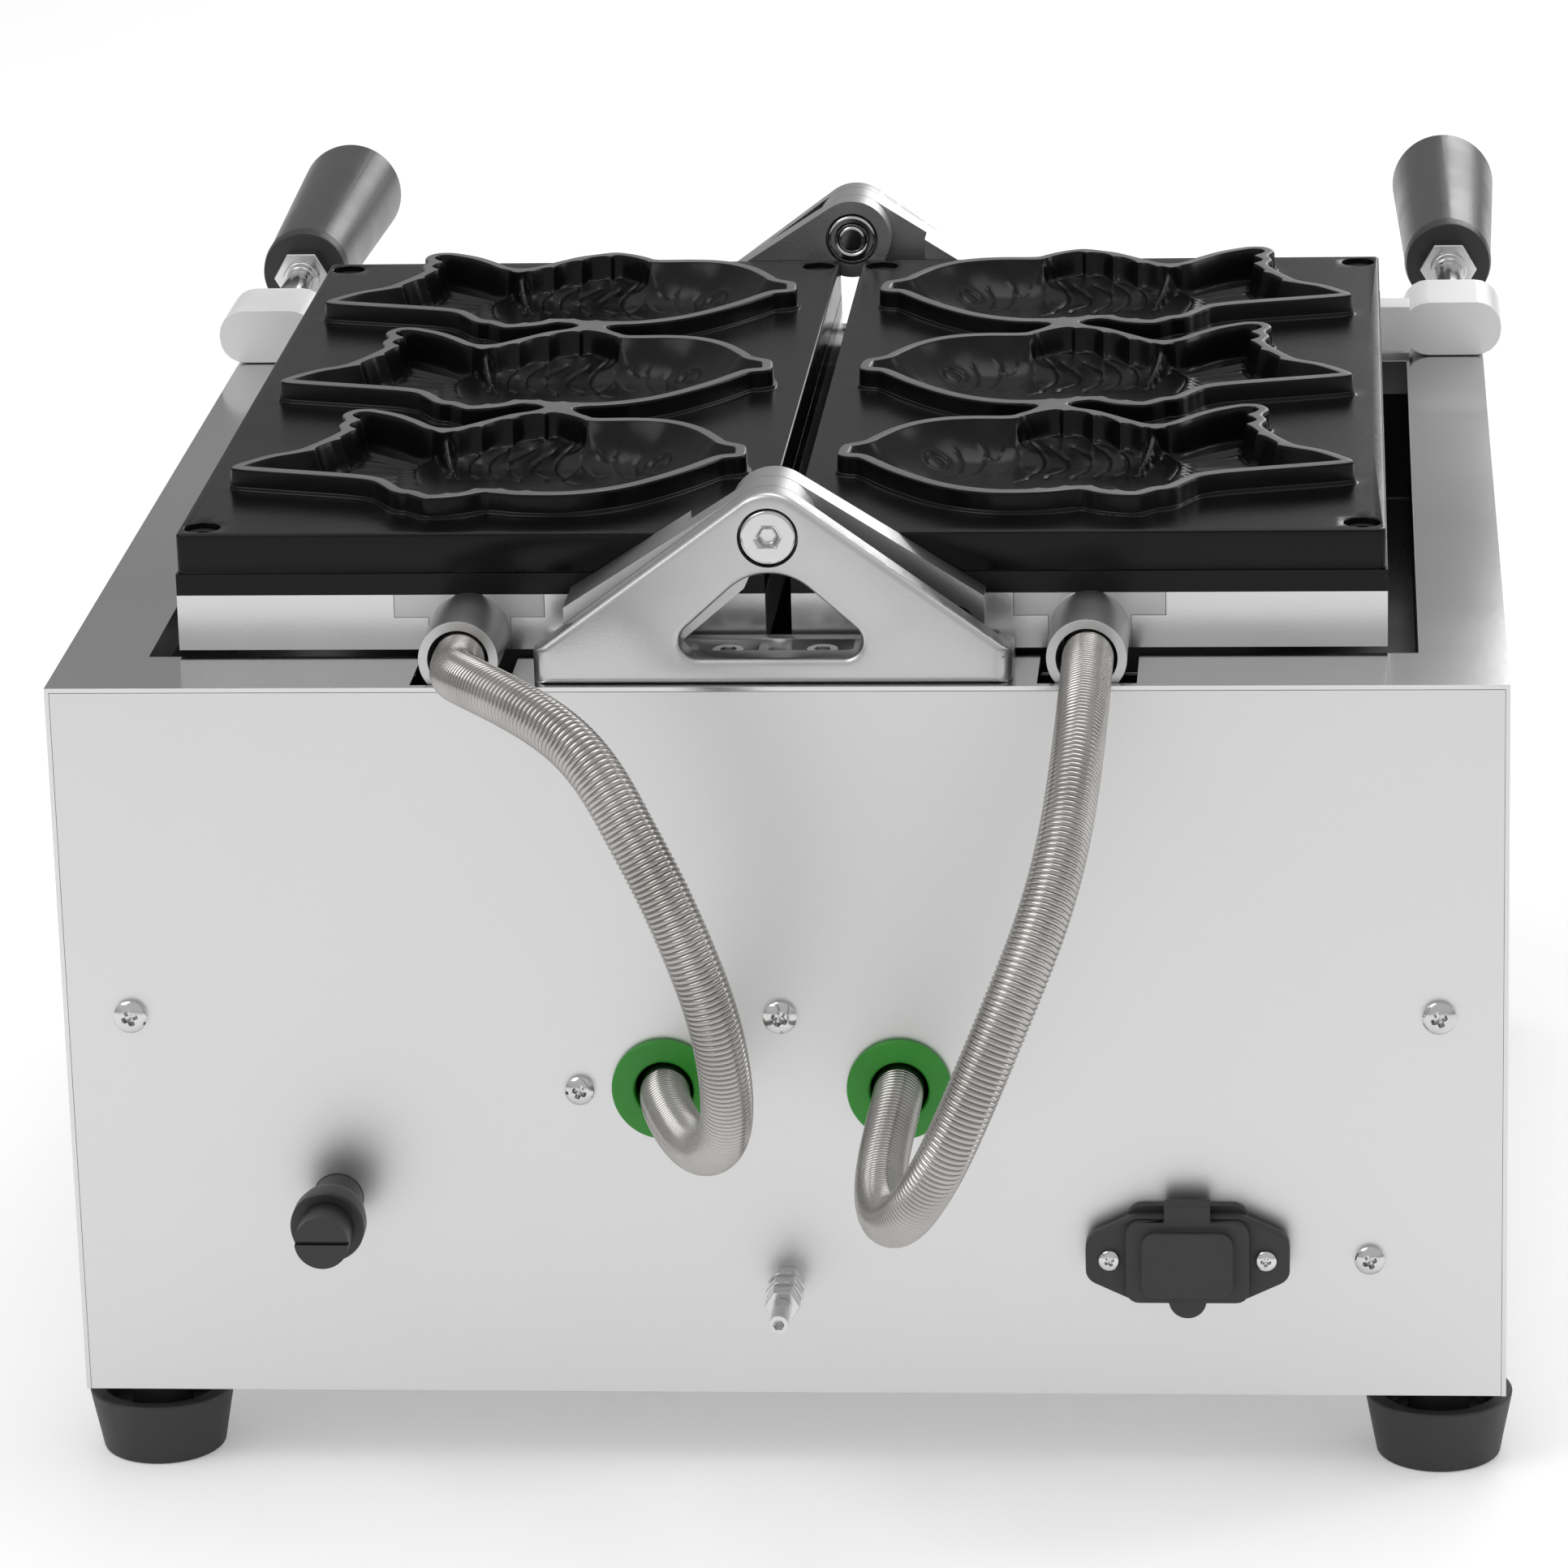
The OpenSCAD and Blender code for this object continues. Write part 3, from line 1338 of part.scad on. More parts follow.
module control_knob(x) {
    face = body_d + bush_h + run_gap;
    difference() {
        union() {
            bar(x, face, knob_z, knob_skirt_t, knob_skirt_d);
            bar(x, face, knob_z, knob_h, knob_d, knob_top_d);
            translate([x - knob_bar_w / 2, face + knob_h / 2, knob_z - knob_top_d / 2])
                cube([knob_bar_w, knob_h / 2 + knob_bar_h, knob_top_d]);
        }
        bar(x, face - over, knob_z, spindle_grip + over, spindle_d + 2 * thread_gap);
        translate([x - knob_mark_w / 2, face + knob_h + knob_bar_h - knob_mark_t, knob_z + knob_bar_w / 2])
            cube([knob_mark_w, knob_mark_t + over, knob_top_d]);
    }
    bar(x, body_d - spindle_in, knob_z, spindle_in + bush_h + run_gap + spindle_grip - seat_gap, spindle_d);
}

module thermostat() {
    color(cast) control_body(knob_x, thermostat_w, thermostat_t);
}

module thermostat_knob() {
    color(black) control_knob(knob_x);
}

module timer() {
    color(cast) control_body(-knob_x, timer_w, timer_t);
}

module timer_knob() {
    color(black) control_knob(-knob_x);
}

module switch_body() {
    color(black) translate([0, 0, knob_z]) difference() {
        union() {
            slab(body_d + seat_gap / 2, bezel_t) square([bezel_w, bezel_h], center = true);
            slab(body_d - switch_t, switch_t + over) square([switch_w, switch_h], center = true);
        }
        slab(body_d - switch_t + switch_wall, switch_t + bezel_t + over)
            square([rocker_w + 2 * run_gap, rocker_h + 2 * run_gap], center = true);
        translate([-switch_w / 2 - over, body_d - switch_t / 2, 0]) rotate([0, 90, 0])
            cylinder(h = switch_w + 2 * over, d = spindle_d / 2 + 2 * pivot_gap);
    }
}

// Rocker: a curved key on a trunnion across the switch
module switch_rocker() {
    color("darkred") translate([0, body_d - switch_t / 2, knob_z]) rotate([rocker_tilt, 0, 0]) {
        intersection() {
            translate([-rocker_w / 2, 0, 0]) rotate([0, 90, 0]) cylinder(h = rocker_w, r = rocker_r);
            translate([-rocker_w / 2, 0, -rocker_h / 2 + rocker_trim])
                cube([rocker_w, switch_t / 2 + bezel_t + rocker_proud, rocker_h - 2 * rocker_trim]);
        }
        translate([-switch_w / 2, 0, 0]) rotate([0, 90, 0]) cylinder(h = switch_w, d = spindle_d / 2);
    }
}

module indicator_lamps() {
    for (side = [-1, 1]) color(side < 0 ? "limegreen" : "orange") {
        bar(side * knob_x, body_d + seat_gap / 2, knob_z + lamp_rise, lamp_t, lamp_d, lamp_stem_d);
        bar(side * knob_x, body_d - lamp_stem, knob_z + lamp_rise, lamp_stem + lamp_t / 2, lamp_stem_d);
    }
}

module terminal_block() {
    pitch = block_w / block_poles;
    color("ivory") translate([-block_w / 2, block_y, sheet_t]) difference() {
        cube([block_w, block_d, block_h]);
        for (i = [0:block_poles - 1]) {
            bar((i + 1 / 2) * pitch, -over, block_hole_h / 2 + sheet_t, block_d + 2 * over, block_hole_d);
            translate([(i + 1 / 2) * pitch, block_d / 2, block_hole_h])
                cylinder(h = block_h, d = block_hole_d);
        }
    }
}

placed() housing();
placed() rear_panel();
placed() front_panel();
placed() bottom_plate();
placed() well_tray();
placed() rubber_feet();
placed() foot_screws();
placed() rear_bracket();
placed() front_bracket();
placed() bracket_screws();
placed() rear_pivot_bolt();
placed() front_pivot_bolt();
placed() hose_grommets();
placed() left_hose();
placed() right_hose();
placed() panel_screws();
placed() fuse_holder();
placed() fuse_cap();
placed() glass_fuse();
placed() inlet_gasket();
placed() inlet_socket();
placed() inlet_frame();
placed() inlet_flap();
placed() inlet_screws();
placed() ground_stud();
placed() ground_nuts();
placed() thermostat();
placed() thermostat_knob();
placed() timer();
placed() timer_knob();
placed() switch_body();
placed() switch_rocker();
placed() indicator_lamps();
placed() terminal_block();
placed() mirrored() mould_plate();  // left_mould_plate
placed() mirrored() heater_plate();  // left_heater_plate
placed() mirrored() heating_element();  // left_heating_element
placed() mirrored() base_shell();  // left_base_shell
placed() mirrored() hose_boss();  // left_hose_boss
placed() mirrored() outer_arm();  // left_rear_arm
placed() turned() inner_arm();  // left_front_arm
placed() mirrored() pan_socket_screws();  // left_socket_screws
placed() mirrored() handle_lug();  // left_handle_lug
placed() mirrored() handle_stud();  // left_handle_stud
placed() mirrored() handle_nut();  // left_handle_nut
placed() mirrored() handle_ferrule();  // left_handle_ferrule
placed() mirrored() handle_grip();  // left_handle_grip
placed() mould_plate();  // right_mould_plate
placed() heater_plate();  // right_heater_plate
placed() heating_element();  // right_heating_element
placed() base_shell();  // right_base_shell
placed() hose_boss();  // right_hose_boss
placed() inner_arm();  // right_rear_arm
placed() turned() mirrored() outer_arm();  // right_front_arm
placed() pan_socket_screws();  // right_socket_screws
placed() handle_lug();  // right_handle_lug
placed() handle_stud();  // right_handle_stud
placed() handle_nut();  // right_handle_nut
placed() handle_ferrule();  // right_handle_ferrule
placed() handle_grip();  // right_handle_grip
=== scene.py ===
import json
import math

import bmesh
import bpy
import numpy as np
from mathutils import Matrix, Vector, geometry


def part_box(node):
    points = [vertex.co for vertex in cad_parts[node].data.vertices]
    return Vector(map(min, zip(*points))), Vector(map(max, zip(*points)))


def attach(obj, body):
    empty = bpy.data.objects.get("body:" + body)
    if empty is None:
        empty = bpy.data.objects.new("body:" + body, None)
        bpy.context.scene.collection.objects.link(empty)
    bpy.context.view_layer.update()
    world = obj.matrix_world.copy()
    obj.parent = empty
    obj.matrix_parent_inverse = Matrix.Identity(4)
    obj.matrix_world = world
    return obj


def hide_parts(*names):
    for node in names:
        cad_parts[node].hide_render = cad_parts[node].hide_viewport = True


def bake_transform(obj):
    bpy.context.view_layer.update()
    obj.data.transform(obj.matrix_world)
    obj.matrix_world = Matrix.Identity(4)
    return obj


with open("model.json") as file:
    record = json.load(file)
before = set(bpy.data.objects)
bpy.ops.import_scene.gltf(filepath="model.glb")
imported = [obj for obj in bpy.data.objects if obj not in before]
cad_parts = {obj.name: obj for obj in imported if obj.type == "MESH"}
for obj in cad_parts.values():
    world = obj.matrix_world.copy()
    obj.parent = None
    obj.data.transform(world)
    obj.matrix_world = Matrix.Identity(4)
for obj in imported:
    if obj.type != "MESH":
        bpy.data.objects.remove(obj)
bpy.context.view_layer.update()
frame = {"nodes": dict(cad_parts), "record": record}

# Lengths below are in millimetres from the rear panel's outer face (y = 0) and the housing's floor (z = 0)
REAR_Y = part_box("rear_panel")[0].y
FLOOR_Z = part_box("bottom_plate")[0].z


def at(x, y, z):
    return Vector((x / 1000, REAR_Y + y / 1000, FLOOR_Z + z / 1000))


def to_frame(pts):
    a = np.asarray(pts, float) / 1000
    a[:, 1] += REAR_Y
    a[:, 2] += FLOOR_Z
    return a


# Camera

# The photo's camera as fitted: yaw, pitch and roll in radians, and its place
CAMERA_TURN = (0.0840303, 0.3130102, -0.0275367)
CAMERA_PLACE = (141.017, -1642.71, 699.859)
FOCAL_PX, PHOTO_PX, SENSOR_MM = 8457.38, 1932, 36


def make_camera():
    yaw, pitch, roll = CAMERA_TURN
    ahead = Vector((-math.sin(yaw) * math.cos(pitch), math.cos(yaw) * math.cos(pitch), -math.sin(pitch)))
    right = Vector((math.cos(yaw), math.sin(yaw), 0))
    up = right.cross(ahead)
    r2 = math.cos(roll) * right + math.sin(roll) * up
    u2 = -math.sin(roll) * right + math.cos(roll) * up
    data = bpy.data.cameras.new("camera")
    data.sensor_width = SENSOR_MM
    data.sensor_fit = "HORIZONTAL"
    data.lens = FOCAL_PX / PHOTO_PX * SENSOR_MM
    data.clip_end = 30
    cam = bpy.data.objects.new("camera", data)
    bpy.context.scene.collection.objects.link(cam)
    m = Matrix((r2, u2, -ahead)).transposed().to_4x4()
    m.translation = at(*CAMERA_PLACE)
    cam.matrix_world = m
    bpy.context.scene.camera = cam


# Materials
MATS = {}


class Nodes:
    """A material's node tree, with short ways to add its usual parts; it is listed in MATS."""

    def __init__(self, name):
        self.m = MATS[name] = bpy.data.materials.new(name)
        self.m.use_nodes = True
        self.t = self.m.node_tree
        self.b = self.t.nodes["Principled BSDF"]
        self.co = self.add("ShaderNodeTexCoord").outputs["Object"]

    def add(self, kind, **sockets):
        n = self.t.nodes.new(kind)
        for k, v in sockets.items():
            n.inputs[k.replace("_", " ")].default_value = v
        return n

    def link(self, a, b):
        self.t.links.new(a, b)

    def stretch(self, scale):
        n = self.add("ShaderNodeMapping", Scale=scale)
        self.link(self.co, n.inputs["Vector"])
        return n.outputs["Vector"]

    def noise(self, scale, detail=3.0, rough=0.5, vector=None):
        n = self.add("ShaderNodeTexNoise", Scale=scale, Detail=detail, Roughness=rough)
        self.link(vector or self.co, n.inputs["Vector"])
        return n.outputs["Fac"]

    def spread(self, value, low, high, frm=0.3, to=0.7):
        n = self.add("ShaderNodeMapRange", From_Min=frm, From_Max=to, To_Min=low, To_Max=high)
        self.link(value, n.inputs["Value"])
        return n.outputs["Result"]

    def colours(self, value, a, b, frm=0.3, to=0.7):
        n = self.add("ShaderNodeValToRGB")
        e = n.color_ramp.elements
        e[0].position, e[1].position = frm, to
        e[0].color, e[1].color = (*a, 1), (*b, 1)
        self.link(value, n.inputs["Fac"])
        return n.outputs["Color"]

    def bump(self, height, strength, distance, under=None):
        n = self.add("ShaderNodeBump", Strength=strength, Distance=distance)
        self.link(height, n.inputs["Height"])
        if under:
            self.link(under, n.inputs["Normal"])
        return n.outputs["Normal"]

    def finish(self, colour=None, rough=None, normal=None, **values):
        for k, v in values.items():
            self.b.inputs[k.replace("_", " ")].default_value = v
        for socket, key in ((colour, "Base Color"), (rough, "Roughness"), (normal, "Normal")):
            if socket is not None:
                self.link(socket, self.b.inputs[key])
        return self.m


EVEN = (1, 1, 1)
ROLLED = (1, 1, 60)


def metal(name, dark, light, rough, grain=EVEN, grain_scale=900, bump=0.02, patch=14, spread=0.06,
          metallic=1.0):
    """Metal with fine drawn or cast grain, slow cloudy changes of gloss and a slight change of tone."""
    n = Nodes(name)
    fine = n.noise(grain_scale, 2, 0.6, n.stretch(grain))
    cloud = n.noise(patch, 3, 0.5)
    return n.finish(
        n.colours(cloud, dark, light),
        n.spread(cloud, rough - spread, rough + spread),
        n.bump(fine, bump, 0.0004),
        Metallic=metallic,
    )


def moulded(name, dark, light, rough, grain=1400, bump=0.08, patch=30, coat=0.0, specular=0.5):
    """Moulded plastic, rubber or paint: fine grain with slow changes of gloss and tone."""
    n = Nodes(name)
    cloud = n.noise(patch, 4, 0.55)
    fine = n.noise(grain, 2, 0.5)
    return n.finish(
        n.colours(cloud, dark, light),
        n.spread(cloud, rough - 0.05, rough + 0.07),
        n.bump(fine, bump, 0.0003),
        Coat_Weight=coat,
        Coat_Roughness=0.15,
        Specular_IOR_Level=specular,
    )


def coated(name, dark, light, rough, specular=0.5, peel=0.12):
    """Baked non-stick coat on machined aluminium: soft orange peel, tiny specks and a dull sheen."""
    n = Nodes(name)
    cloud = n.noise(22, 3, 0.5)
    peel_noise = n.noise(420, 2, 0.5)
    speck = n.noise(2600, 1, 0.5)
    low = n.bump(peel_noise, peel, 0.0003)
    return n.finish(
        n.colours(cloud, dark, light),
        n.spread(cloud, rough - 0.04, rough + 0.06),
        n.bump(speck, peel / 2, 0.0001, low),
        Metallic=0.0,
        Specular_IOR_Level=specular,
    )


def glass(name, tint):
    n = Nodes(name)
    fine = n.noise(700, 2, 0.5)
    return n.finish(None, n.spread(fine, 0.02, 0.06), None,
                    Base_Color=(*tint, 1), Transmission_Weight=0.9, IOR=1.47)


def grey(v):
    return (v, v, v)


metal("stainless_sheet", grey(0.62), grey(0.67), 0.13, ROLLED, 160, 0.02, 6, 0.03)
moulded("black_enamel", grey(0.012), grey(0.02), 0.28, coat=0.3)
moulded("black_rubber", grey(0.018), grey(0.030), 0.55, 900, 0.15)
metal("polished_steel", grey(0.58), grey(0.68), 0.14, EVEN, 500, 0.015, 60, 0.04)
metal("cast_bracket", grey(0.52), grey(0.60), 0.36, EVEN, 1500, 0.10, 25, 0.05)
moulded("green_rubber", (0.015, 0.20, 0.012), (0.025, 0.27, 0.02), 0.42, 1100, 0.08)
metal("hose_steel", (0.36, 0.345, 0.33), (0.48, 0.465, 0.45), 0.22, EVEN, 800, 0.03, 40, 0.06)
moulded("black_plastic", grey(0.014), grey(0.022), 0.38, 1600, 0.06)
glass("fuse_glass", (0.86, 0.93, 0.92))
metal("control_metal", (0.50, 0.50, 0.48), (0.62, 0.62, 0.60), 0.42, EVEN, 900, 0.06, 30)
moulded("red_plastic", (0.42, 0.01, 0.008), (0.55, 0.02, 0.012), 0.25, 1200, 0.04, coat=0.4)
moulded("lamp_plastic", (0.75, 0.28, 0.02), (0.90, 0.38, 0.04), 0.16, 1200, 0.03, coat=0.5)
moulded("block_plastic", (0.72, 0.69, 0.60), (0.80, 0.77, 0.68), 0.4, 1200, 0.06)
coated("coated_plate", grey(0.0020), grey(0.0040), 0.23, 0.20)
metal("element_sheath", (0.10, 0.09, 0.09), (0.17, 0.15, 0.14), 0.45, EVEN, 600, 0.08, 50)
metal("painted_shell", grey(0.66), grey(0.72), 0.26, EVEN, 1500, 0.03, 20, 0.03, 0.85)
moulded("painted_lug", grey(0.72), grey(0.78), 0.32, 900, 0.05, specular=0.6)
metal("black_screws", grey(0.05), grey(0.09), 0.34, EVEN, 900, 0.06, 60, 0.05)
moulded("grip_plastic", grey(0.030), grey(0.045), 0.30, 1500, 0.05, specular=0.5)
# Looks that differ from the rest of their slot: the rims' tops, whose lighter grey is a painted highlight
# along the rims, the rear panel and the hose bosses
coated("rim_top", grey(0.115), grey(0.155), 0.34, 0.5, 0.05)
metal("panel_sheet", grey(0.67), grey(0.70), 0.40, ROLLED, 160, 0.02, 6, 0.015)
metal("boss_steel", grey(0.50), grey(0.60), 0.36, EVEN, 900, 0.04, 30, 0.04)


# Pieces
SLOT_OF = {p["node"]: p["material_slot"] for p in frame["record"]["subparts"]}
BODY_OF = {n: b for b, names in frame["record"]["behaviour"]["bodies"].items() for n in names}


def link(obj, body, mats):
    bpy.context.scene.collection.objects.link(obj)
    # Clearing the materials also clears the faces' numbers, so they are kept and set again
    numbers = np.zeros(len(obj.data.polygons), np.int32)
    obj.data.polygons.foreach_get("material_index", numbers)
    obj.data.materials.clear()
    for m in mats:
        obj.data.materials.append(m)
    numbers = np.minimum(numbers, len(mats) - 1).astype(np.int32)
    obj.data.polygons.foreach_set("material_index", numbers)
    if body:
        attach(obj, body)
    return obj


def soften(mesh, angle):
    mesh.shade_smooth()
    mesh.set_sharp_from_angle(angle=math.radians(angle))


def from_data(name, verts, faces, body, slot, mats=None, angle=40, mat_index=None):
    """A new piece from points in millimetres and faces."""
    mesh = bpy.data.meshes.new(name)
    mesh.from_pydata(to_frame(verts).tolist(), [], faces)
    if mat_index is not None:
        mesh.polygons.foreach_set("material_index", np.asarray(mat_index, np.int32))
    mesh.validate()
    bm = bmesh.new()
    bm.from_mesh(mesh)
    bmesh.ops.remove_doubles(bm, verts=bm.verts, dist=1e-6)
    bmesh.ops.recalc_face_normals(bm, faces=bm.faces)
    bm.to_mesh(mesh)
    bm.free()
    soften(mesh, angle)
    return link(bpy.data.objects.new(name, mesh), body, mats or [MATS[slot]])


# Degrees up to which two faces count as one flat, and from which their edge is broken
FLAT_ANGLE, EDGE_ANGLE = 1.2, 28


def rounded_copy(node, width, segments, mat):
    """The node's own shape with its edges broken, as a piece that replaces it."""
    src = frame["nodes"][node]
    mesh = src.data.copy()
    mesh.transform(src.matrix_world)
    bm = bmesh.new()
    bm.from_mesh(mesh)
    bmesh.ops.remove_doubles(bm, verts=bm.verts, dist=2e-6)
    bmesh.ops.dissolve_limit(bm, angle_limit=math.radians(FLAT_ANGLE), verts=bm.verts, edges=bm.edges)
    bm.to_mesh(mesh)
    bm.free()
    obj = bpy.data.objects.new(node + "_dressed", mesh)
    bpy.context.scene.collection.objects.link(obj)
    mod = obj.modifiers.new("edges", "BEVEL")
    mod.width = width / 1000
    mod.segments = segments
    mod.limit_method = "ANGLE"
    mod.angle_limit = math.radians(EDGE_ANGLE)
    mod.use_clamp_overlap = True
    mesh.shade_smooth()
    even = obj.modifiers.new("even", "WEIGHTED_NORMAL")
    even.weight = 100
    even.keep_sharp = True
    dg = bpy.context.evaluated_depsgraph_get()
    done = obj.evaluated_get(dg)
    made = bpy.data.meshes.new_from_object(done, preserve_all_data_layers=True, depsgraph=dg)
    obj.modifiers.clear()
    obj.data = made
    bpy.context.scene.collection.objects.unlink(obj)
    link(obj, BODY_OF[node], [mat])
    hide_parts(node)


def ring_faces(rings, sides):
    """Quads between rings of points that follow each other."""
    out = []
    for i in range(rings - 1):
        for j in range(sides):
            k = (j + 1) % sides
            out.append((i * sides + j, i * sides + k, (i + 1) * sides + k, (i + 1) * sides + j))
    return out


def lathe(profile, centre, sides):
    """Points and faces of a profile of (radius, along) pairs turned about a line along Y."""
    verts = []
    for r, a in profile:
        for k in range(sides):
            t = 2 * math.pi * k / sides
            verts.append((centre[0] + r * math.cos(t), centre[1] + a, centre[2] + r * math.sin(t)))
    return verts, ring_faces(len(profile), sides)


def join(parts):
    """Points and faces of several parts as one."""
    verts, faces = [], []
    for v, f in parts:
        n = len(verts)
        verts += list(v)
        faces += [tuple(i + n for i in q) for q in f]
    return verts, faces


# Hoses

# Control points of each hose, from inside its boss, which a pan carries, to inside the rear panel
LEFT_ROUTE = [
    (-78.9, 42, 198.9), (-78.9, 28.6, 198.9), (-78.9, 15.2, 198.9), (-78.9, 1.8, 198.9),
    (-78.9, -11.6, 198.9), (-72, -42, 207), (-41, -69, 201), (-29, -79, 181), (-21, -83, 167),
    (-14, -86, 151), (-7, -86, 130), (-6, -74, 98), (-18, -45, 82), (-30, -10, 84),
    (-30, 3, 84), (-30, 16, 84), (-30, 29, 84),
]
RIGHT_ROUTE = [
    (79.7, 42, 198.9), (79.7, 28.6, 198.9), (79.7, 15.2, 198.9), (79.7, 1.8, 198.9),
    (79.7, -11.6, 198.9), (79.5, -46, 195), (77, -72, 178), (72, -87, 161), (64, -97, 143),
    (57, -102, 127), (46, -104, 101), (33, -83, 76), (26, -45, 73), (30, -10, 84),
    (30, 3, 84), (30, 16, 84), (30, 29, 84),
]
# Diameter, count of ribs, wall, depth of the grooves, rings of points to a rib and points to a ring
HOSE_D, HOSE_RIBS = 13.0, 236
HOSE_WALL, HOSE_GROOVE, RINGS_PER_RIB, HOSE_SIDES = 1.6, 0.50, 5, 28


def curve_through(route, step):
    """Points at even steps along the route's cubic B-spline."""
    p = np.array(route, float)
    out = []
    for i in range(len(p) - 3):
        s = np.linspace(0, 1, 60, endpoint=False)[:, None]
        r = 1 - s
        out.append((r**3 * p[i] + (3 * s**3 - 6 * s**2 + 4) * p[i + 1]
                    + (-3 * s**3 + 3 * s**2 + 3 * s + 1) * p[i + 2] + s**3 * p[i + 3]) / 6)
    out.append((p[-3] + 4 * p[-2] + p[-1])[None] / 6)
    q = np.vstack(out)
    run = np.concatenate([[0], np.cumsum(np.linalg.norm(np.diff(q, axis=0), axis=1))])
    n = max(2, int(round(run[-1] / step)))
    s = np.linspace(0, run[-1], n + 1)
    return np.column_stack([np.interp(s, run, q[:, k]) for k in range(3)]), s


def make_hose(name, route):
    """A ribbed hose along the route, with a plain bore so that its ends show a wall."""
    per_rib, sides = RINGS_PER_RIB, HOSE_SIDES
    line, s = curve_through(route, 1.0)
    total = s[-1]
    rings = HOSE_RIBS * per_rib + 1
    at_s = np.linspace(0, total, rings)
    centres = np.column_stack([np.interp(at_s, s, line[:, k]) for k in range(3)])
    heads = np.gradient(centres, axis=0)
    for _ in range(3):
        heads[1:-1] = (heads[:-2] + heads[1:-1] + heads[2:]) / 3
    heads /= np.linalg.norm(heads, axis=1)[:, None]
    side = np.array([1.0, 0.35, 0.0])
    verts = []
    ang = np.linspace(0, 2 * math.pi, sides, endpoint=False)
    for i in range(rings):
        side = side - heads[i] * side.dot(heads[i])
        side /= np.linalg.norm(side)
        up = np.cross(heads[i], side)
        phase = 2 * math.pi * (i % per_rib) / per_rib
        # Rounded crests with narrow grooves between them, as a wound strip-steel hose has
        r = HOSE_D / 2 - HOSE_GROOVE * max(0.0, math.cos(phase)) ** 1.6
        verts.append(centres[i] + r * (np.cos(ang)[:, None] * side + np.sin(ang)[:, None] * up))
    bore = HOSE_D / 2 - HOSE_WALL
    for i in range(rings - 1, -1, -4 * per_rib):
        h = heads[i]
        sd = verts[i][0] - centres[i]
        sd = sd - h * sd.dot(h)
        sd /= np.linalg.norm(sd)
        up = np.cross(h, sd)
        verts.append(centres[i] + bore * (np.cos(ang)[:, None] * sd + np.sin(ang)[:, None] * up))
    rows = len(verts)
    faces = ring_faces(rows, sides)
    for j in range(sides):
        k = (j + 1) % sides
        faces.append(((rows - 1) * sides + j, (rows - 1) * sides + k, k, j))
    obj = from_data(name + "_dressed", np.vstack(verts), faces, None, SLOT_OF[name], angle=60)
    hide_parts(name)
    path = to_frame(centres[::4])
    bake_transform(obj)


def make_hoses():
    make_hose("left_hose", LEFT_ROUTE)
    make_hose("right_hose", RIGHT_ROUTE)


# Mould plates

# The fish's outline and the lines in its cavity: along it from the nose and across it, in 1/1000 of its
# length
OUTLINE = [
    (6, -21), (6, 18), (11, 45), (23, 57), (49, 77), (65, 110),
    (99, 172), (142, 220), (190, 247), (246, 257), (320, 257), (340, 273),
    (360, 293), (390, 315), (423, 326), (464, 308), (499, 286), (546, 237),
    (586, 196), (611, 188), (635, 199), (669, 245), (710, 292), (760, 328),
    (785, 336), (809, 331), (825, 310), (829, 285), (818, 252), (826, 215),
    (817, 180), (823, 152), (839, 113), (860, 68), (885, 28), (929, -4),
    (962, -41), (990, -83), (984, -103), (915, -125), (813, -152), (746, -172),
    (705, -194), (681, -229), (663, -261), (646, -279), (626, -287), (609, -304),
    (593, -319), (575, -322), (540, -314), (511, -300), (483, -280), (460, -284),
    (416, -298), (349, -304), (301, -297), (246, -274), (196, -238), (145, -183),
    (100, -124), (70, -78), (46, -44), (22, -36),
]
FISH_LINES = [
    [(215, 186), (226, 176), (235, 155), (235, 131), (230, 101), (220, 86), (203, 82)],
    [(265, 204), (276, 187), (279, 170), (274, 140), (258, 101), (238, 84), (220, 82)],
    [(278, 180), (286, 166), (297, 164), (307, 174), (313, 190)],
    [(342, 217), (345, 192), (341, 159), (330, 132), (317, 106), (304, 93), (288, 94)],
    [(350, 262), (376, 234), (389, 202), (393, 181), (391, 148), (380, 112), (369, 92),
     (366, 66), (351, 46), (338, 40)],
    [(347, 155), (358, 118), (369, 92)],
    [(400, 247), (419, 219), (434, 191), (439, 167), (436, 134), (419, 104), (406, 89),
     (401, 65)],
    [(447, 244), (464, 220), (480, 187), (484, 157), (480, 126), (465, 97), (456, 84),
     (454, 58)],
    [(492, 225), (511, 198), (523, 162), (524, 136), (517, 106), (501, 86), (496, 66)],
    [(530, 205), (543, 184), (558, 150), (562, 126), (556, 92), (539, 76), (534, 59)],
    [(572, 188), (589, 160), (599, 122), (600, 96), (591, 69), (579, 56), (576, 36)],
]
# The tail's fork, and the scales of the belly's side, which mirror the first row half a step on
FORK = [(618, 156), (641, 119), (656, 79), (651, 26), (640, -20)]
SCALE_SHIFT, SCALE_MIRROR = 22, 70
# The ridge that parts the back fin from the tail, and the eye's middle
RIDGE = [(611, 188), (603, 128), (585, 63)]
EYE = (0.187, 0.138)
# A fish's length, the distance between two of them, and the place of the middle one's nose
FISH, PITCH, NOSE_X, MID_Y = 136.0, 89.216, 11.3, 175.0
# Height of the plate's top, its thickness, and the rims' height and width
PLATE_TOP, PLATE_T, RIM_H, RIM_W = 224.1, 10.5, 6.0, 2.8
# The right plate's low and high x, and low and high y
PLATE = (3.3, 154.3, 29.0, 321.0)
# The three fish of a plate, counted from its middle
ROWS = (-1, 0, 1)
# Height over the plate's top at a distance outside the rims, from the middle of their tops: rounded edge,
# drafted wall, ledge and fillet
RIM_MID = -1.4
OUTER_STEPS = (
    (RIM_MID, 6.0), (-0.75, 6.0), (-0.40, 5.93), (-0.15, 5.72), (0.0, 5.38), (0.05, 5.0), (0.22, 1.12),
    (0.42, 1.0), (0.5, 0.80), (0.54, 0.5), (0.66, 0.2), (0.95, 0.03), (1.35, 0.0),
)
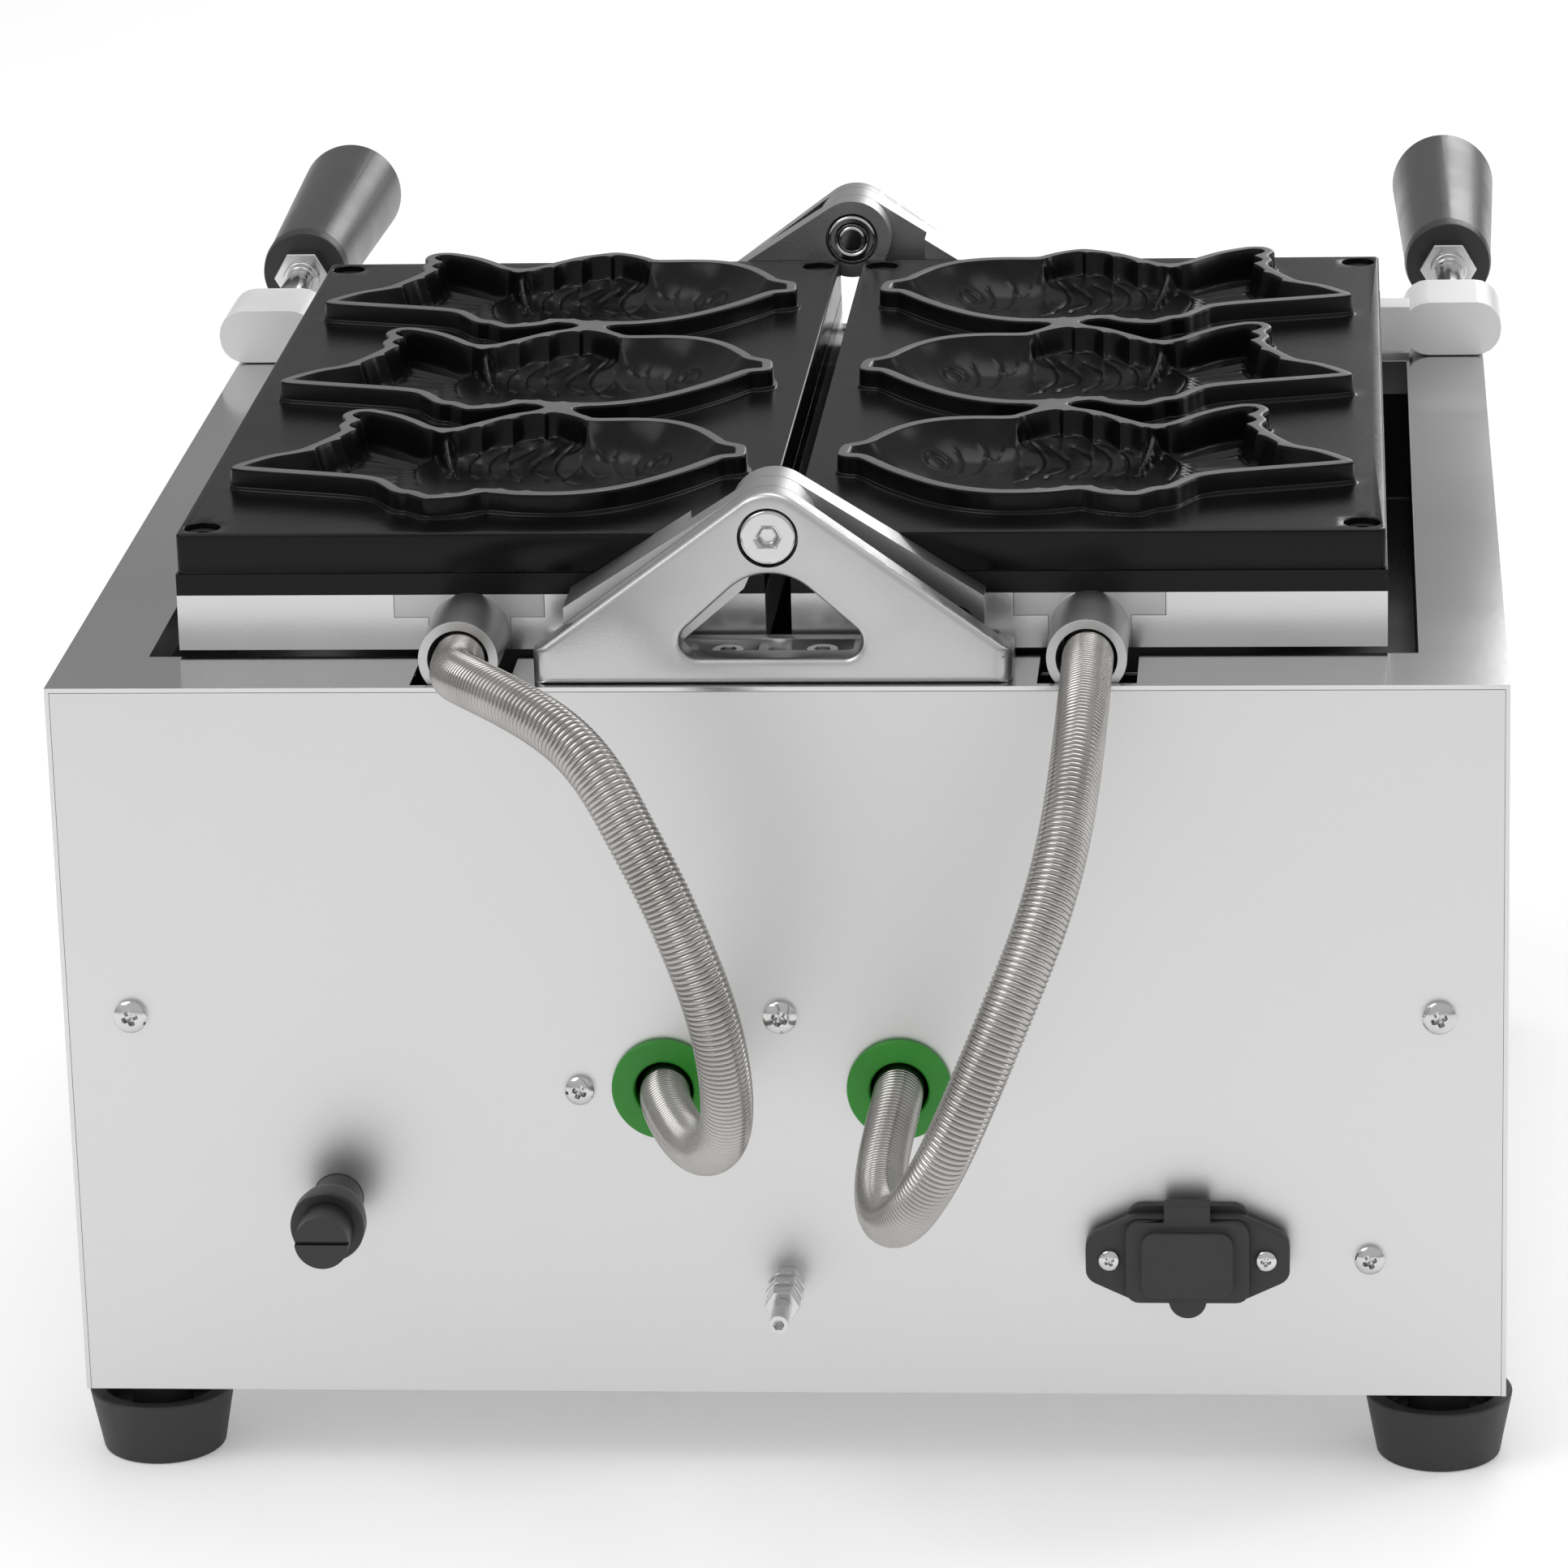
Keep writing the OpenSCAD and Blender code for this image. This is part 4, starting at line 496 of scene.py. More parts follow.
# Distances at which the mesh follows the cavity's wall, and how far a full rib stands out of it
INNER_LEVELS = (-2.25, -2.55, -2.75, -2.9, -3.1, -3.5, -3.9, -4.25, -4.5, -4.8, -5.3)
RIB_OUT = 1.4
# Points of a ring, and of a rectangle with rounded corners
RING_N, CORNER_N = 36, 6
RECT_N = 4 * CORNER_N
# Radii of a counterbore and its hole, and its depth
BORE_R, HOLE_R, BORE_DEPTH = 5.0, 2.6, 6.4
# A distance at which the plate's top is flat
CLEAR = 9.0
NO_SEGS = np.zeros((0, 2), int)
# How many points are worked on at a time
CHUNK = 4000


def smooth_loop(pts, step, closed=True):
    """Catmull-Rom curve through given points, resampled at about even steps."""
    p = np.array(pts, float)
    n = len(p)
    idx = range(n) if closed else range(n - 1)
    out = []
    for i in idx:
        if closed:
            a, b, c, d = p[i - 1], p[i], p[(i + 1) % n], p[(i + 2) % n]
        else:
            a, b, c, d = p[max(i - 1, 0)], p[i], p[i + 1], p[min(i + 2, n - 1)]
        t = np.linspace(0, 1, 12, endpoint=False)[:, None]
        out.append(0.5 * (2 * b + (c - a) * t + (2 * a - 5 * b + 4 * c - d) * t**2
                          + (3 * b - a - 3 * c + d) * t**3))
    q = np.vstack(out + [p[:1] if closed else p[-1:]])
    run = np.concatenate([[0], np.cumsum(np.linalg.norm(np.diff(q, axis=0), axis=1))])
    m = max(3, int(round(run[-1] / step)))
    s = np.linspace(0, run[-1], m + 1)[: m if closed else m + 1]
    return np.column_stack([np.interp(s, run, q[:, k]) for k in range(2)])


def distance(pts, line, closed):
    """Distance of each point to the line, and the side of the nearest segment that it lies on."""
    a = line
    b = np.roll(line, -1, axis=0)
    if not closed:
        a, b = line[:-1], line[1:]
    best = np.full(len(pts), 1e9)
    side = np.zeros(len(pts))
    for i in range(0, len(pts), CHUNK):
        q = pts[i:i + CHUNK, None, :]
        ab = (b - a)[None]
        aq = q - a[None]
        t = np.clip((aq * ab).sum(2) / np.maximum((ab**2).sum(2), 1e-12), 0, 1)
        d = np.hypot(*np.moveaxis(aq - t[..., None] * ab, 2, 0))
        k = d.argmin(1)
        r = np.arange(len(k))
        best[i:i + CHUNK] = d[r, k]
        side[i:i + CHUNK] = np.sign(ab[0, k, 0] * aq[r, k, 1] - ab[0, k, 1] * aq[r, k, 0])
    return best, side


def inside(pts, a, b):
    """Whether each point is inside the closed outline made of the segments a to b."""
    odd = np.zeros(len(pts), bool)
    for i in range(0, len(pts), CHUNK):
        x, y = pts[i:i + CHUNK, 0][:, None], pts[i:i + CHUNK, 1][:, None]
        cross = (a[None, :, 1] > y) != (b[None, :, 1] > y)
        dy = np.where(b[:, 1] == a[:, 1], 1e-12, b[:, 1] - a[:, 1])
        at_x = a[None, :, 0] + (y - a[None, :, 1]) * ((b[:, 0] - a[:, 0]) / dy)[None]
        odd[i:i + CHUNK] = (cross & (x < at_x)).sum(1) % 2 == 1
    return odd


def contour(field, x0, y0, h, level):
    """Points and segments of one level of a field sampled on a square grid (rows are x)."""
    f = field - level
    f = np.where(np.abs(f) < 1e-7, 1e-7, f)
    pos = f > 0
    ids, pts = {}, []

    def edge(i, j, k):
        key = (i, j, k)
        if key not in ids:
            i2, j2 = (i + 1, j) if k == 0 else (i, j + 1)
            t = f[i, j] / (f[i, j] - f[i2, j2])
            ids[key] = len(pts)
            pts.append((x0 + h * (i + t * (i2 - i)), y0 + h * (j + t * (j2 - j))))
        return ids[key]

    segs = []
    cell = pos[:-1, :-1].astype(int) + pos[1:, :-1] + pos[:-1, 1:] + pos[1:, 1:]
    for i, j in np.argwhere((cell > 0) & (cell < 4)):
        c = []
        if pos[i, j] != pos[i + 1, j]:
            c.append(edge(i, j, 0))
        if pos[i + 1, j] != pos[i + 1, j + 1]:
            c.append(edge(i + 1, j, 1))
        if pos[i, j + 1] != pos[i + 1, j + 1]:
            c.append(edge(i, j + 1, 0))
        if pos[i, j] != pos[i, j + 1]:
            c.append(edge(i, j, 1))
        if len(c) == 2:
            segs.append((c[0], c[1]))
        else:
            mid = f[i:i + 2, j:j + 2].mean() > 0
            pair = ((0, 1), (2, 3)) if mid != pos[i, j] else ((0, 3), (1, 2))
            segs += [(c[u], c[v]) for u, v in pair]
    return np.array(pts), np.array(segs, int)


def triangulate(loops, loose):
    """Constrained triangles over loops of (points, segments, value) and loose points.

    Returns the points, their values and the triangles; a point of no loop has no value.
    """
    pts, segs, val = [], [], []
    n = 0
    for p, s, v in loops:
        pts.append(p)
        segs.append(np.asarray(s, int).reshape(-1, 2) + n)
        val.append(np.full(len(p), v, float))
        n += len(p)
    pts.append(loose)
    val.append(np.full(len(loose), np.nan))
    allp = np.vstack(pts)
    allv = np.concatenate(val)
    v, _, f, orig, _, _ = geometry.delaunay_2d_cdt(
        [Vector(p) for p in allp.tolist()], np.vstack(segs).tolist(), [], 0, 1e-5)
    out_v = np.array([allv[o[0]] if o else np.nan for o in orig])
    return np.array([tuple(p) for p in v]), out_v, np.array(f, int)


def far_from(loose, fixed, gap, h=1.0):
    """Loose points that lie at least gap from every fixed point, found with cells of size h."""
    cells = {}
    for x, y in fixed:
        cells.setdefault((int(x // h), int(y // h)), []).append((x, y))
    keep = []
    for k, (x, y) in enumerate(loose):
        i, j = int(x // h), int(y // h)
        around = [q for a in (i - 1, i, i + 1) for b in (j - 1, j, j + 1) for q in cells.get((a, b), ())]
        if all((q[0] - x)**2 + (q[1] - y)**2 >= gap * gap for q in around):
            keep.append(k)
    return loose[keep]


def smin(a, b, k):
    """The smaller of a and b, blended where they differ by less than k."""
    h = np.maximum(k - np.abs(a - b), 0) / k
    return np.minimum(a, b) - h * h * k / 4


def smax(a, b, k):
    """The larger of a and b, blended where they differ by less than k."""
    return -smin(-a, -b, k)


def fade(t):
    """0 below 0, 1 above 1 and smooth in between."""
    t = np.clip(t, 0, 1)
    return t * t * (3 - 2 * t)


# Height of the fins' floor over the plate's top
FIN_FLOOR = -0.8


def flank_depth(p):
    """About how far each point lies inside the body, from its back, its belly and the root of its tail."""
    u, w = p[:, 0] / FISH, p[:, 1] / FISH
    back = np.interp(u, (0.30, 0.334, 0.391, 0.463, 0.520, 0.58, 0.62, 0.66),
                     (0.30, 0.294, 0.292, 0.277, 0.262, 0.226, 0.185, 0.12))
    belly = np.interp(u, (0.30, 0.40, 0.50, 0.58, 0.66), (-0.31, -0.30, -0.262, -0.20, -0.09))
    return smin(smin((back - w) * FISH, (w - belly) * FISH, 6), (0.678 - u) * FISH * 0.6, 6)


def wall_ridges(p):
    """How far ribs stand out of the walls, in shares of RIB_OUT: back fin, belly fin and tail in turn."""
    x, y = p[:, 0], p[:, 1]
    out = np.zeros(len(p))
    for u, size in ((0.428, 1.2), (0.487, 1.1), (0.541, 1.1), (0.584, 1.0), (0.612, 4.2)):
        rib = np.clip(1 - np.abs(x - u * FISH) / 3.4, 0, 1) ** 2
        out = np.maximum(out, size * rib * fade((y - 0.14 * FISH) / 3))
    for u in (0.40, 0.45, 0.50, 0.55):
        rib = np.clip(1 - np.abs(x - u * FISH) / 2.4, 0, 1) ** 1.6
        out = np.maximum(out, 0.8 * rib * fade((-0.22 * FISH - y) / 4))
    for w in (0.252, 0.182, 0.108, 0.028):
        rib = np.exp(-np.abs((y - w * FISH) / 1.5)**1.5)
        out = np.maximum(out, rib * fade((x - 0.76 * FISH) / 4))
    return out


def cavity_height(p, d, lines):
    """Height of the cavity and the rim's inner half over the plate's top, at distance d outside the fish."""
    x, y = p[:, 0], p[:, 1]
    # Distance inside the rim, and depth inside the body
    a = -d - RIM_W
    depth = smin(flank_depth(p), a - 1.4, 4)
    tail = fade((x / FISH - 0.615) / 0.03)
    pocket = FIN_FLOOR - 2.0 * tail
    tail_mid = np.array([0.575, 0.045]) * FISH
    ang = np.arctan2(y - tail_mid[1], x - tail_mid[0])
    reach = np.hypot(x - tail_mid[0], y - tail_mid[1])
    ribs = (0.5 + 0.5 * np.cos(ang * 26 - 0.6)) ** 0.8
    pocket = pocket + 0.95 * ribs * fade((reach - 8) / 9) * tail * fade((a - 1.8) / 3.0)
    steep = smin(np.full(len(p), RIM_H), RIM_H - 4.2 * a, 0.8)
    t = np.clip(a / 20, 0, 1)
    bowl = smin(np.full(len(p), RIM_H), RIM_H - 10.5 * (1 - (1 - t) ** 2.6) - np.minimum(a, 0) * 1.4, 0.5)
    dish = FIN_FLOOR - 3.7 * (1 - (1 - np.clip(depth / 18, 0, 1)) ** 2)
    # The head and the belly slope down as a bowl, while the fins and the tail have steep walls of their own
    far = fade(y / 24 + 0.5)
    head_end = 0.343 * far + 0.46 * (1 - far)
    wide = 0.014 * far + 0.09 * (1 - far) + 0.26 * fade((depth - 0.5) / 12)
    head = fade((head_end - x / FISH) / wide + 0.5)
    root = fade((flank_depth(p) + 1) / 3)
    z = smax(bowl, dish, 0.6) * head + smax(steep, dish * root + pocket * (1 - root), 1.4) * (1 - head)
    z = np.where(a < -0.6, RIM_H, z)
    soft = fade((a - 1.0) / 2)
    # Eye: a ball, a groove and a fine outer ring
    er = np.hypot(x - EYE[0] * FISH, y - EYE[1] * FISH)
    z = z + soft * (0.30 * np.exp(-((er - 3.6) / 0.5) ** 2) - 0.30 * np.exp(-((er - 2.5) / 0.45) ** 2)
                    + 0.28 * fade((2.1 - er) / 1.4))
    for pts, strength in lines:
        lo, hi = pts.min(0) - (9, 2), pts.max(0) + (9, 2)
        near = (x > lo[0]) & (x < hi[0]) & (y > lo[1]) & (y < hi[1])
        q = p[near]
        dist, side = distance(q, pts, False)
        ends = np.minimum(np.hypot(*(q - pts[0]).T), np.hypot(*(q - pts[-1]).T))
        tail_side = side * np.sign(pts[0, 1] - pts[-1, 1]) > 0
        rise = 0.13 if pts[:, 0].max() > 0.36 * FISH else 0.04
        # A groove, with the scale's edge standing up on the tail's side of it
        step = np.where(tail_side, rise * np.exp(-(dist / 2.2) ** 2), 0)
        step = step * fade(dist / 0.5) * fade((ends - 1.2) / 3.5)
        groove = -0.28 * np.exp(-(dist / 0.42) ** 2) * fade(ends / 1.5 + 0.3)
        z[near] += strength * soft[near] * (groove + step)
    # The ridge falls from the rim to the floor
    dist, _ = distance(p, fish_line(RIDGE), False)
    top, foot = RIDGE[0][1] / 1000, RIDGE[-1][1] / 1000
    crest = -1.2 + (RIM_H + 0.6) * fade((y / FISH - foot) / (top - foot))
    return np.where(a > 0, smax(z, crest - 2.4 * np.maximum(dist - 0.45, 0), 0.4), z)


def rounded_rect(rect, inset, r):
    """Points of the rectangle (low x, high x, low y, high y) drawn in by inset, with corners of radius r."""
    x0, x1, y0, y1 = rect[0] + inset, rect[1] - inset, rect[2] + inset, rect[3] - inset
    pts = []
    corners = (x1 - r, y0 + r, -90), (x1 - r, y1 - r, 0), (x0 + r, y1 - r, 90), (x0 + r, y0 + r, 180)
    for cx, cy, a0 in corners:
        for k in range(CORNER_N):
            a = math.radians(a0 + 90 / (CORNER_N - 1) * k)
            pts.append((cx + r * math.cos(a), cy + r * math.sin(a)))
    return np.array(pts)


def ring_points(cx, cy, r, n=RING_N):
    a = np.linspace(0, 2 * math.pi, n, endpoint=False)
    return np.column_stack([cx + r * np.cos(a), cy + r * np.sin(a)])


def loop_segs(n):
    return [(i, (i + 1) % n) for i in range(n)]


def fish_line(pts):
    """An open line of the fish in millimetres."""
    return smooth_loop(np.array(pts) / 1000 * FISH, 0.5, False)


def as_rows(faces):
    return [tuple(f) for f in faces]


def at_heights(flats):
    """Sets of flat points, each with its own height, as one list of points."""
    return np.vstack([np.column_stack([q, np.full(len(q), z)]) for q, z in flats])


def mould_plate_data():
    """Points, triangles and material numbers of the right plate, in millimetres."""
    line = smooth_loop(np.array(OUTLINE) / 1000 * FISH, 0.55)
    h = 0.5
    x0, y0 = line.min(0) - 12
    nx, ny = (np.ceil((line.max(0) + 12 - (x0, y0)) / h)).astype(int) + 1
    gx, gy = np.meshgrid(x0 + h * np.arange(nx), y0 + h * np.arange(ny), indexing="ij")
    gp = np.column_stack([gx.ravel(), gy.ravel()])
    dist, _ = distance(gp, line, True)
    inn = inside(gp, line, np.roll(line, -1, axis=0))
    sdf = np.where(inn, -dist, dist)
    field = sdf.reshape(nx, ny)
    inner = (sdf + RIB_OUT * wall_ridges(gp)).reshape(nx, ny)

    # Lines of the cavity and how strongly each is cut; the ridge only has the mesh follow it
    lines = [(fish_line(q), 1.0) for q in FISH_LINES] + [(fish_line(FORK), 0.9), (fish_line(RIDGE), 0.0)]
    for q in FISH_LINES[6:10]:
        lines.append((fish_line([(u - SCALE_SHIFT, SCALE_MIRROR - w) for u, w in q[:-1]]), 1.0))

    # Cavity patch, inside the middle of the rim's top
    c0, s0 = contour(field, x0, y0, h, RIM_MID)
    loops = [(c0, s0, RIM_MID)]
    for lv in INNER_LEVELS:
        p, s = contour(inner, x0, y0, h, lv)
        loops.append((p, s, np.nan))
    for r in (0.7, 1.4, 1.9, 2.3, 2.7, 3.15, 3.6, 4.05):
        loops.append((ring_points(EYE[0] * FISH, EYE[1] * FISH, r), loop_segs(RING_N), np.nan))
    for pts, _ in lines:
        grad = np.gradient(pts, axis=0)
        grad /= np.maximum(np.linalg.norm(grad, axis=1)[:, None], 1e-9)
        normal = np.column_stack([-grad[:, 1], grad[:, 0]])
        for off in (-0.5, 0.0, 0.5):
            loops.append((pts + off * normal, NO_SEGS, np.nan))
    fine = 0.7
    lx, ly = np.meshgrid(np.arange(line[:, 0].min(), line[:, 0].max(), fine),
                         np.arange(line[:, 1].min(), line[:, 1].max(), fine), indexing="ij")
    loose = np.column_stack([(lx + fine / 2 * (np.arange(lx.shape[1]) % 2)[None]).ravel(), ly.ravel()])
    loose = loose[inside(loose, c0[s0[:, 0]], c0[s0[:, 1]])]
    loose = far_from(loose, np.vstack([q[0] for q in loops]), 0.34)
    v, val, tri = triangulate(loops, loose)
    cen = v[tri].mean(1)
    tri = tri[inside(cen, c0[s0[:, 0]], c0[s0[:, 1]])]
    d_exact, _ = distance(v, line, True)
    d_eff = np.where(np.isnan(val), -d_exact + RIB_OUT * wall_ridges(v), val)
    z = np.where(val == RIM_MID, RIM_H, cavity_height(v, d_eff, lines))
    patch_v = np.column_stack([v, z])
    patch_f = as_rows(tri)

    # The plate's top and the rims' outsides
    hx0, hx1, hy0, hy1 = PLATE
    g = 0.8
    ax = np.arange(hx0 - g, hx1 + 2 * g, g)
    ay = np.arange(hy0 - g, hy1 + 2 * g, g)
    mx, my = np.meshgrid(ax, ay, indexing="ij")

    def sample(px, py, row):
        """Distance outside the outline of the fish in that row."""
        fx = (px - NOSE_X - x0) / h
        fy = (py - MID_Y - row * PITCH - y0) / h
        i = np.clip(np.floor(fx).astype(int), 0, nx - 2)
        j = np.clip(np.floor(fy).astype(int), 0, ny - 2)
        u, w = np.clip(fx - i, 0, 1), np.clip(fy - j, 0, 1)
        val = (field[i, j] * (1 - u) * (1 - w) + field[i + 1, j] * u * (1 - w)
               + field[i, j + 1] * (1 - u) * w + field[i + 1, j + 1] * u * w)
        half_x, half_y = (nx - 1) / 2, (ny - 1) / 2
        out = np.maximum(np.abs(fx - half_x) - half_x, np.abs(fy - half_y) - half_y)
        return val + np.maximum(out, 0) * h

    def union(px, py):
        """Distance outside the three rims and the webs that join them."""
        d = np.minimum(np.minimum(sample(px, py, -1), sample(px, py, 0)), sample(px, py, 1))
        for row in ROWS[:2]:
            cy = MID_Y + row * PITCH + (0.31 + 0.656 - 0.288) / 2 * FISH
            half = (0.656 - 0.31 - 0.288) / 2 * FISH + 1.0
            qx = np.abs(px - NOSE_X - 0.405 * FISH) - 3.6
            qy = np.abs(py - cy) - half
            web = np.hypot(np.maximum(qx, 0), np.maximum(qy, 0)) + np.minimum(np.maximum(qx, qy), 0)
            d = smin(d, web, 5.0)
        return d

    ufield = union(mx, my)
    loops = []
    for row in ROWS:
        loops.append((c0 + (NOSE_X, MID_Y + row * PITCH), s0, RIM_MID))
    for lv, _ in OUTER_STEPS[1:]:
        p, s = contour(ufield, ax[0], ay[0], g, lv)
        loops.append((p, s, lv))
    edge = rounded_rect(PLATE, 0.7, 0.8)
    loops.append((edge, loop_segs(RECT_N), CLEAR))
    holes = [(x, y) for x in (hx0 + 6, hx1 - 6) for y in (hy0 + 7, hy1 - 7)]
    for x, y in holes:
        loops.append((ring_points(x, y, BORE_R), loop_segs(RING_N), CLEAR))
    sx, sy = np.meshgrid(np.arange(hx0 + 3, hx1 - 2, 5.0), np.arange(hy0 + 3, hy1 - 2, 5.0), indexing="ij")
    loose = np.column_stack([sx.ravel(), sy.ravel()])
    loose = far_from(loose, np.vstack([q[0] for q in loops]), 1.2, 1.3)
    v, val, tri = triangulate(loops, loose)
    cen = v[tri].mean(1)
    keep = (cen[:, 0] > hx0) & inside(cen, edge, np.roll(edge, -1, axis=0))
    for row in ROWS:
        q = c0 + (NOSE_X, MID_Y + row * PITCH)
        keep &= ~inside(cen, q[s0[:, 0]], q[s0[:, 1]])
    for x, y in holes:
        keep &= np.hypot(cen[:, 0] - x, cen[:, 1] - y) > BORE_R - 0.01
    d_eff = np.where(np.isnan(val), union(v[:, 0], v[:, 1]), val)
    z = np.interp(d_eff, *zip(*OUTER_STEPS))
    parts = [(np.column_stack([v, z]), as_rows(tri[keep]))]
    for row in ROWS:
        parts.append((patch_v + (NOSE_X, MID_Y + row * PITCH, 0), patch_f))

    # Broken edge, sides and counterbores; each ring as inset, corner radius and height
    rings = [(0.7, 0.8, 0.0), (0.42, 1.05, -0.05), (0.18, 1.3, -0.22), (0.04, 1.45, -0.48), (0.0, 1.5, -0.8),
             (0.0, 1.5, 0.5 - PLATE_T), (0.15, 1.35, 0.15 - PLATE_T), (0.5, 1.0, -PLATE_T)]
    sides = at_heights([(rounded_rect(PLATE, inset, r), z) for inset, r, z in rings])
    parts.append((sides, ring_faces(len(rings), RECT_N)))
    bore = [(BORE_R, 0.0), (4.85, -0.06), (4.7, -0.25), (4.7, -BORE_DEPTH),
            (HOLE_R, -BORE_DEPTH), (HOLE_R, -PLATE_T)]
    base = rounded_rect(PLATE, 0.5, 1.0)
    under = [(base, loop_segs(RECT_N), 0)]
    for x, y in holes:
        wall = at_heights([(ring_points(x, y, r), z) for r, z in bore])
        parts.append((wall, ring_faces(len(bore), RING_N)))
        under.append((ring_points(x, y, HOLE_R), loop_segs(RING_N), 0))
    v, _, tri = triangulate(under, np.zeros((0, 2)))
    cen = v[tri].mean(1)
    keep = inside(cen, base, np.roll(base, -1, axis=0))
    for x, y in holes:
        keep &= np.hypot(cen[:, 0] - x, cen[:, 1] - y) > HOLE_R - 0.01
    parts.append((at_heights([(v, -PLATE_T)]), as_rows(tri[keep])))
    verts, faces = join([(np.asarray(p).tolist(), f) for p, f in parts])
    verts = np.array(verts)
    # Faces that lie wholly in the rims' tops have the second material, whose lighter grey is a painted
    # highlight along the rims
    low = np.array([min(verts[i][2] for i in f) for f in faces])
    mats = (low > RIM_H - 0.35).astype(int)
    verts[:, 2] += PLATE_TOP
    return verts, faces, mats


def make_mould_plates():
    verts, faces, mats = mould_plate_data()
    for node, s in (("right_mould_plate", 1), ("left_mould_plate", -1)):
        # The second material is a painted highlight on the rims' tops
        obj = from_data(node + "_dressed", verts * (s, 1, 1), faces, BODY_OF[node], SLOT_OF[node],
                        [MATS["coated_plate"], MATS["rim_top"]], 38, mats)
        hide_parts(node)


# Brackets

# Half width, height of the ends, radius of the nose, depth of the rounded plate, radii of its edges, of its
# ends and of its bore, and height of the pivot over the deck
BRACKET = {"half": 60.5, "end": 8.0, "nose": 11.4, "depth": 8.0, "edge": 1.8, "ends": 4.5, "bore": 7.7,
           "pivot": (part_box("rear_bracket")[1].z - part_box("rear_bracket")[0].z) * 1000 - 11.4}
# Corners of the window, each with its radius
WINDOW = ((-30.2, 6.6, 4.5), (30.2, 6.6, 4.5), (0.0, 33.8, 15.0))


def bracket_loops():
    """The bracket's outline, its window and its bore, seen from outside, with heights over the deck."""
    b = BRACKET
    e = np.array([b["half"], b["end"] - b["pivot"]])
    touch = math.atan2(e[1], e[0]) + math.acos(b["nose"] / np.linalg.norm(e))
    arc = np.linspace(touch, math.pi - touch, 16)
    nose = np.column_stack([b["nose"] * np.cos(arc), b["pivot"] + b["nose"] * np.sin(arc)])
    right = [(-b["half"], 0), (b["half"], 0), (b["half"], b["end"])]
    outer = np.vstack([right, nose, [(-b["half"], b["end"])]])
    pts = []
    for k in range(3):
        # The arc of radius r that touches both sides of the corner p
        p, r = np.array(WINDOW[k][:2]), WINDOW[k][2]
        a, c = np.array(WINDOW[k - 1][:2]), np.array(WINDOW[(k + 1) % 3][:2])
        u, v = (a - p) / np.linalg.norm(a - p), (c - p) / np.linalg.norm(c - p)
        half = math.acos(u.dot(v)) / 2
        mid = p + (u + v) / np.linalg.norm(u + v) * r / math.sin(half)
        t0, t1 = p + u * r / math.tan(half) - mid, p + v * r / math.tan(half) - mid
        a0, a1 = math.atan2(t0[1], t0[0]), math.atan2(t1[1], t1[0])
        turn = (a1 - a0 + 3 * math.pi) % (2 * math.pi) - math.pi
        angles = [a0 + turn * i / 14 for i in range(15)]
        pts += [mid + r * np.array([math.cos(t), math.sin(t)]) for t in angles]

    def even(loop, step=1.2):
        out = []
        for a, c in zip(loop, np.roll(loop, -1, axis=0)):
            m = max(1, int(np.linalg.norm(c - a) / step))
            out += [a + (c - a) * i / m for i in range(m)]
        return np.array(out)

    return even(outer), even(np.array(pts)), ring_points(0, b["pivot"], b["bore"], 48)


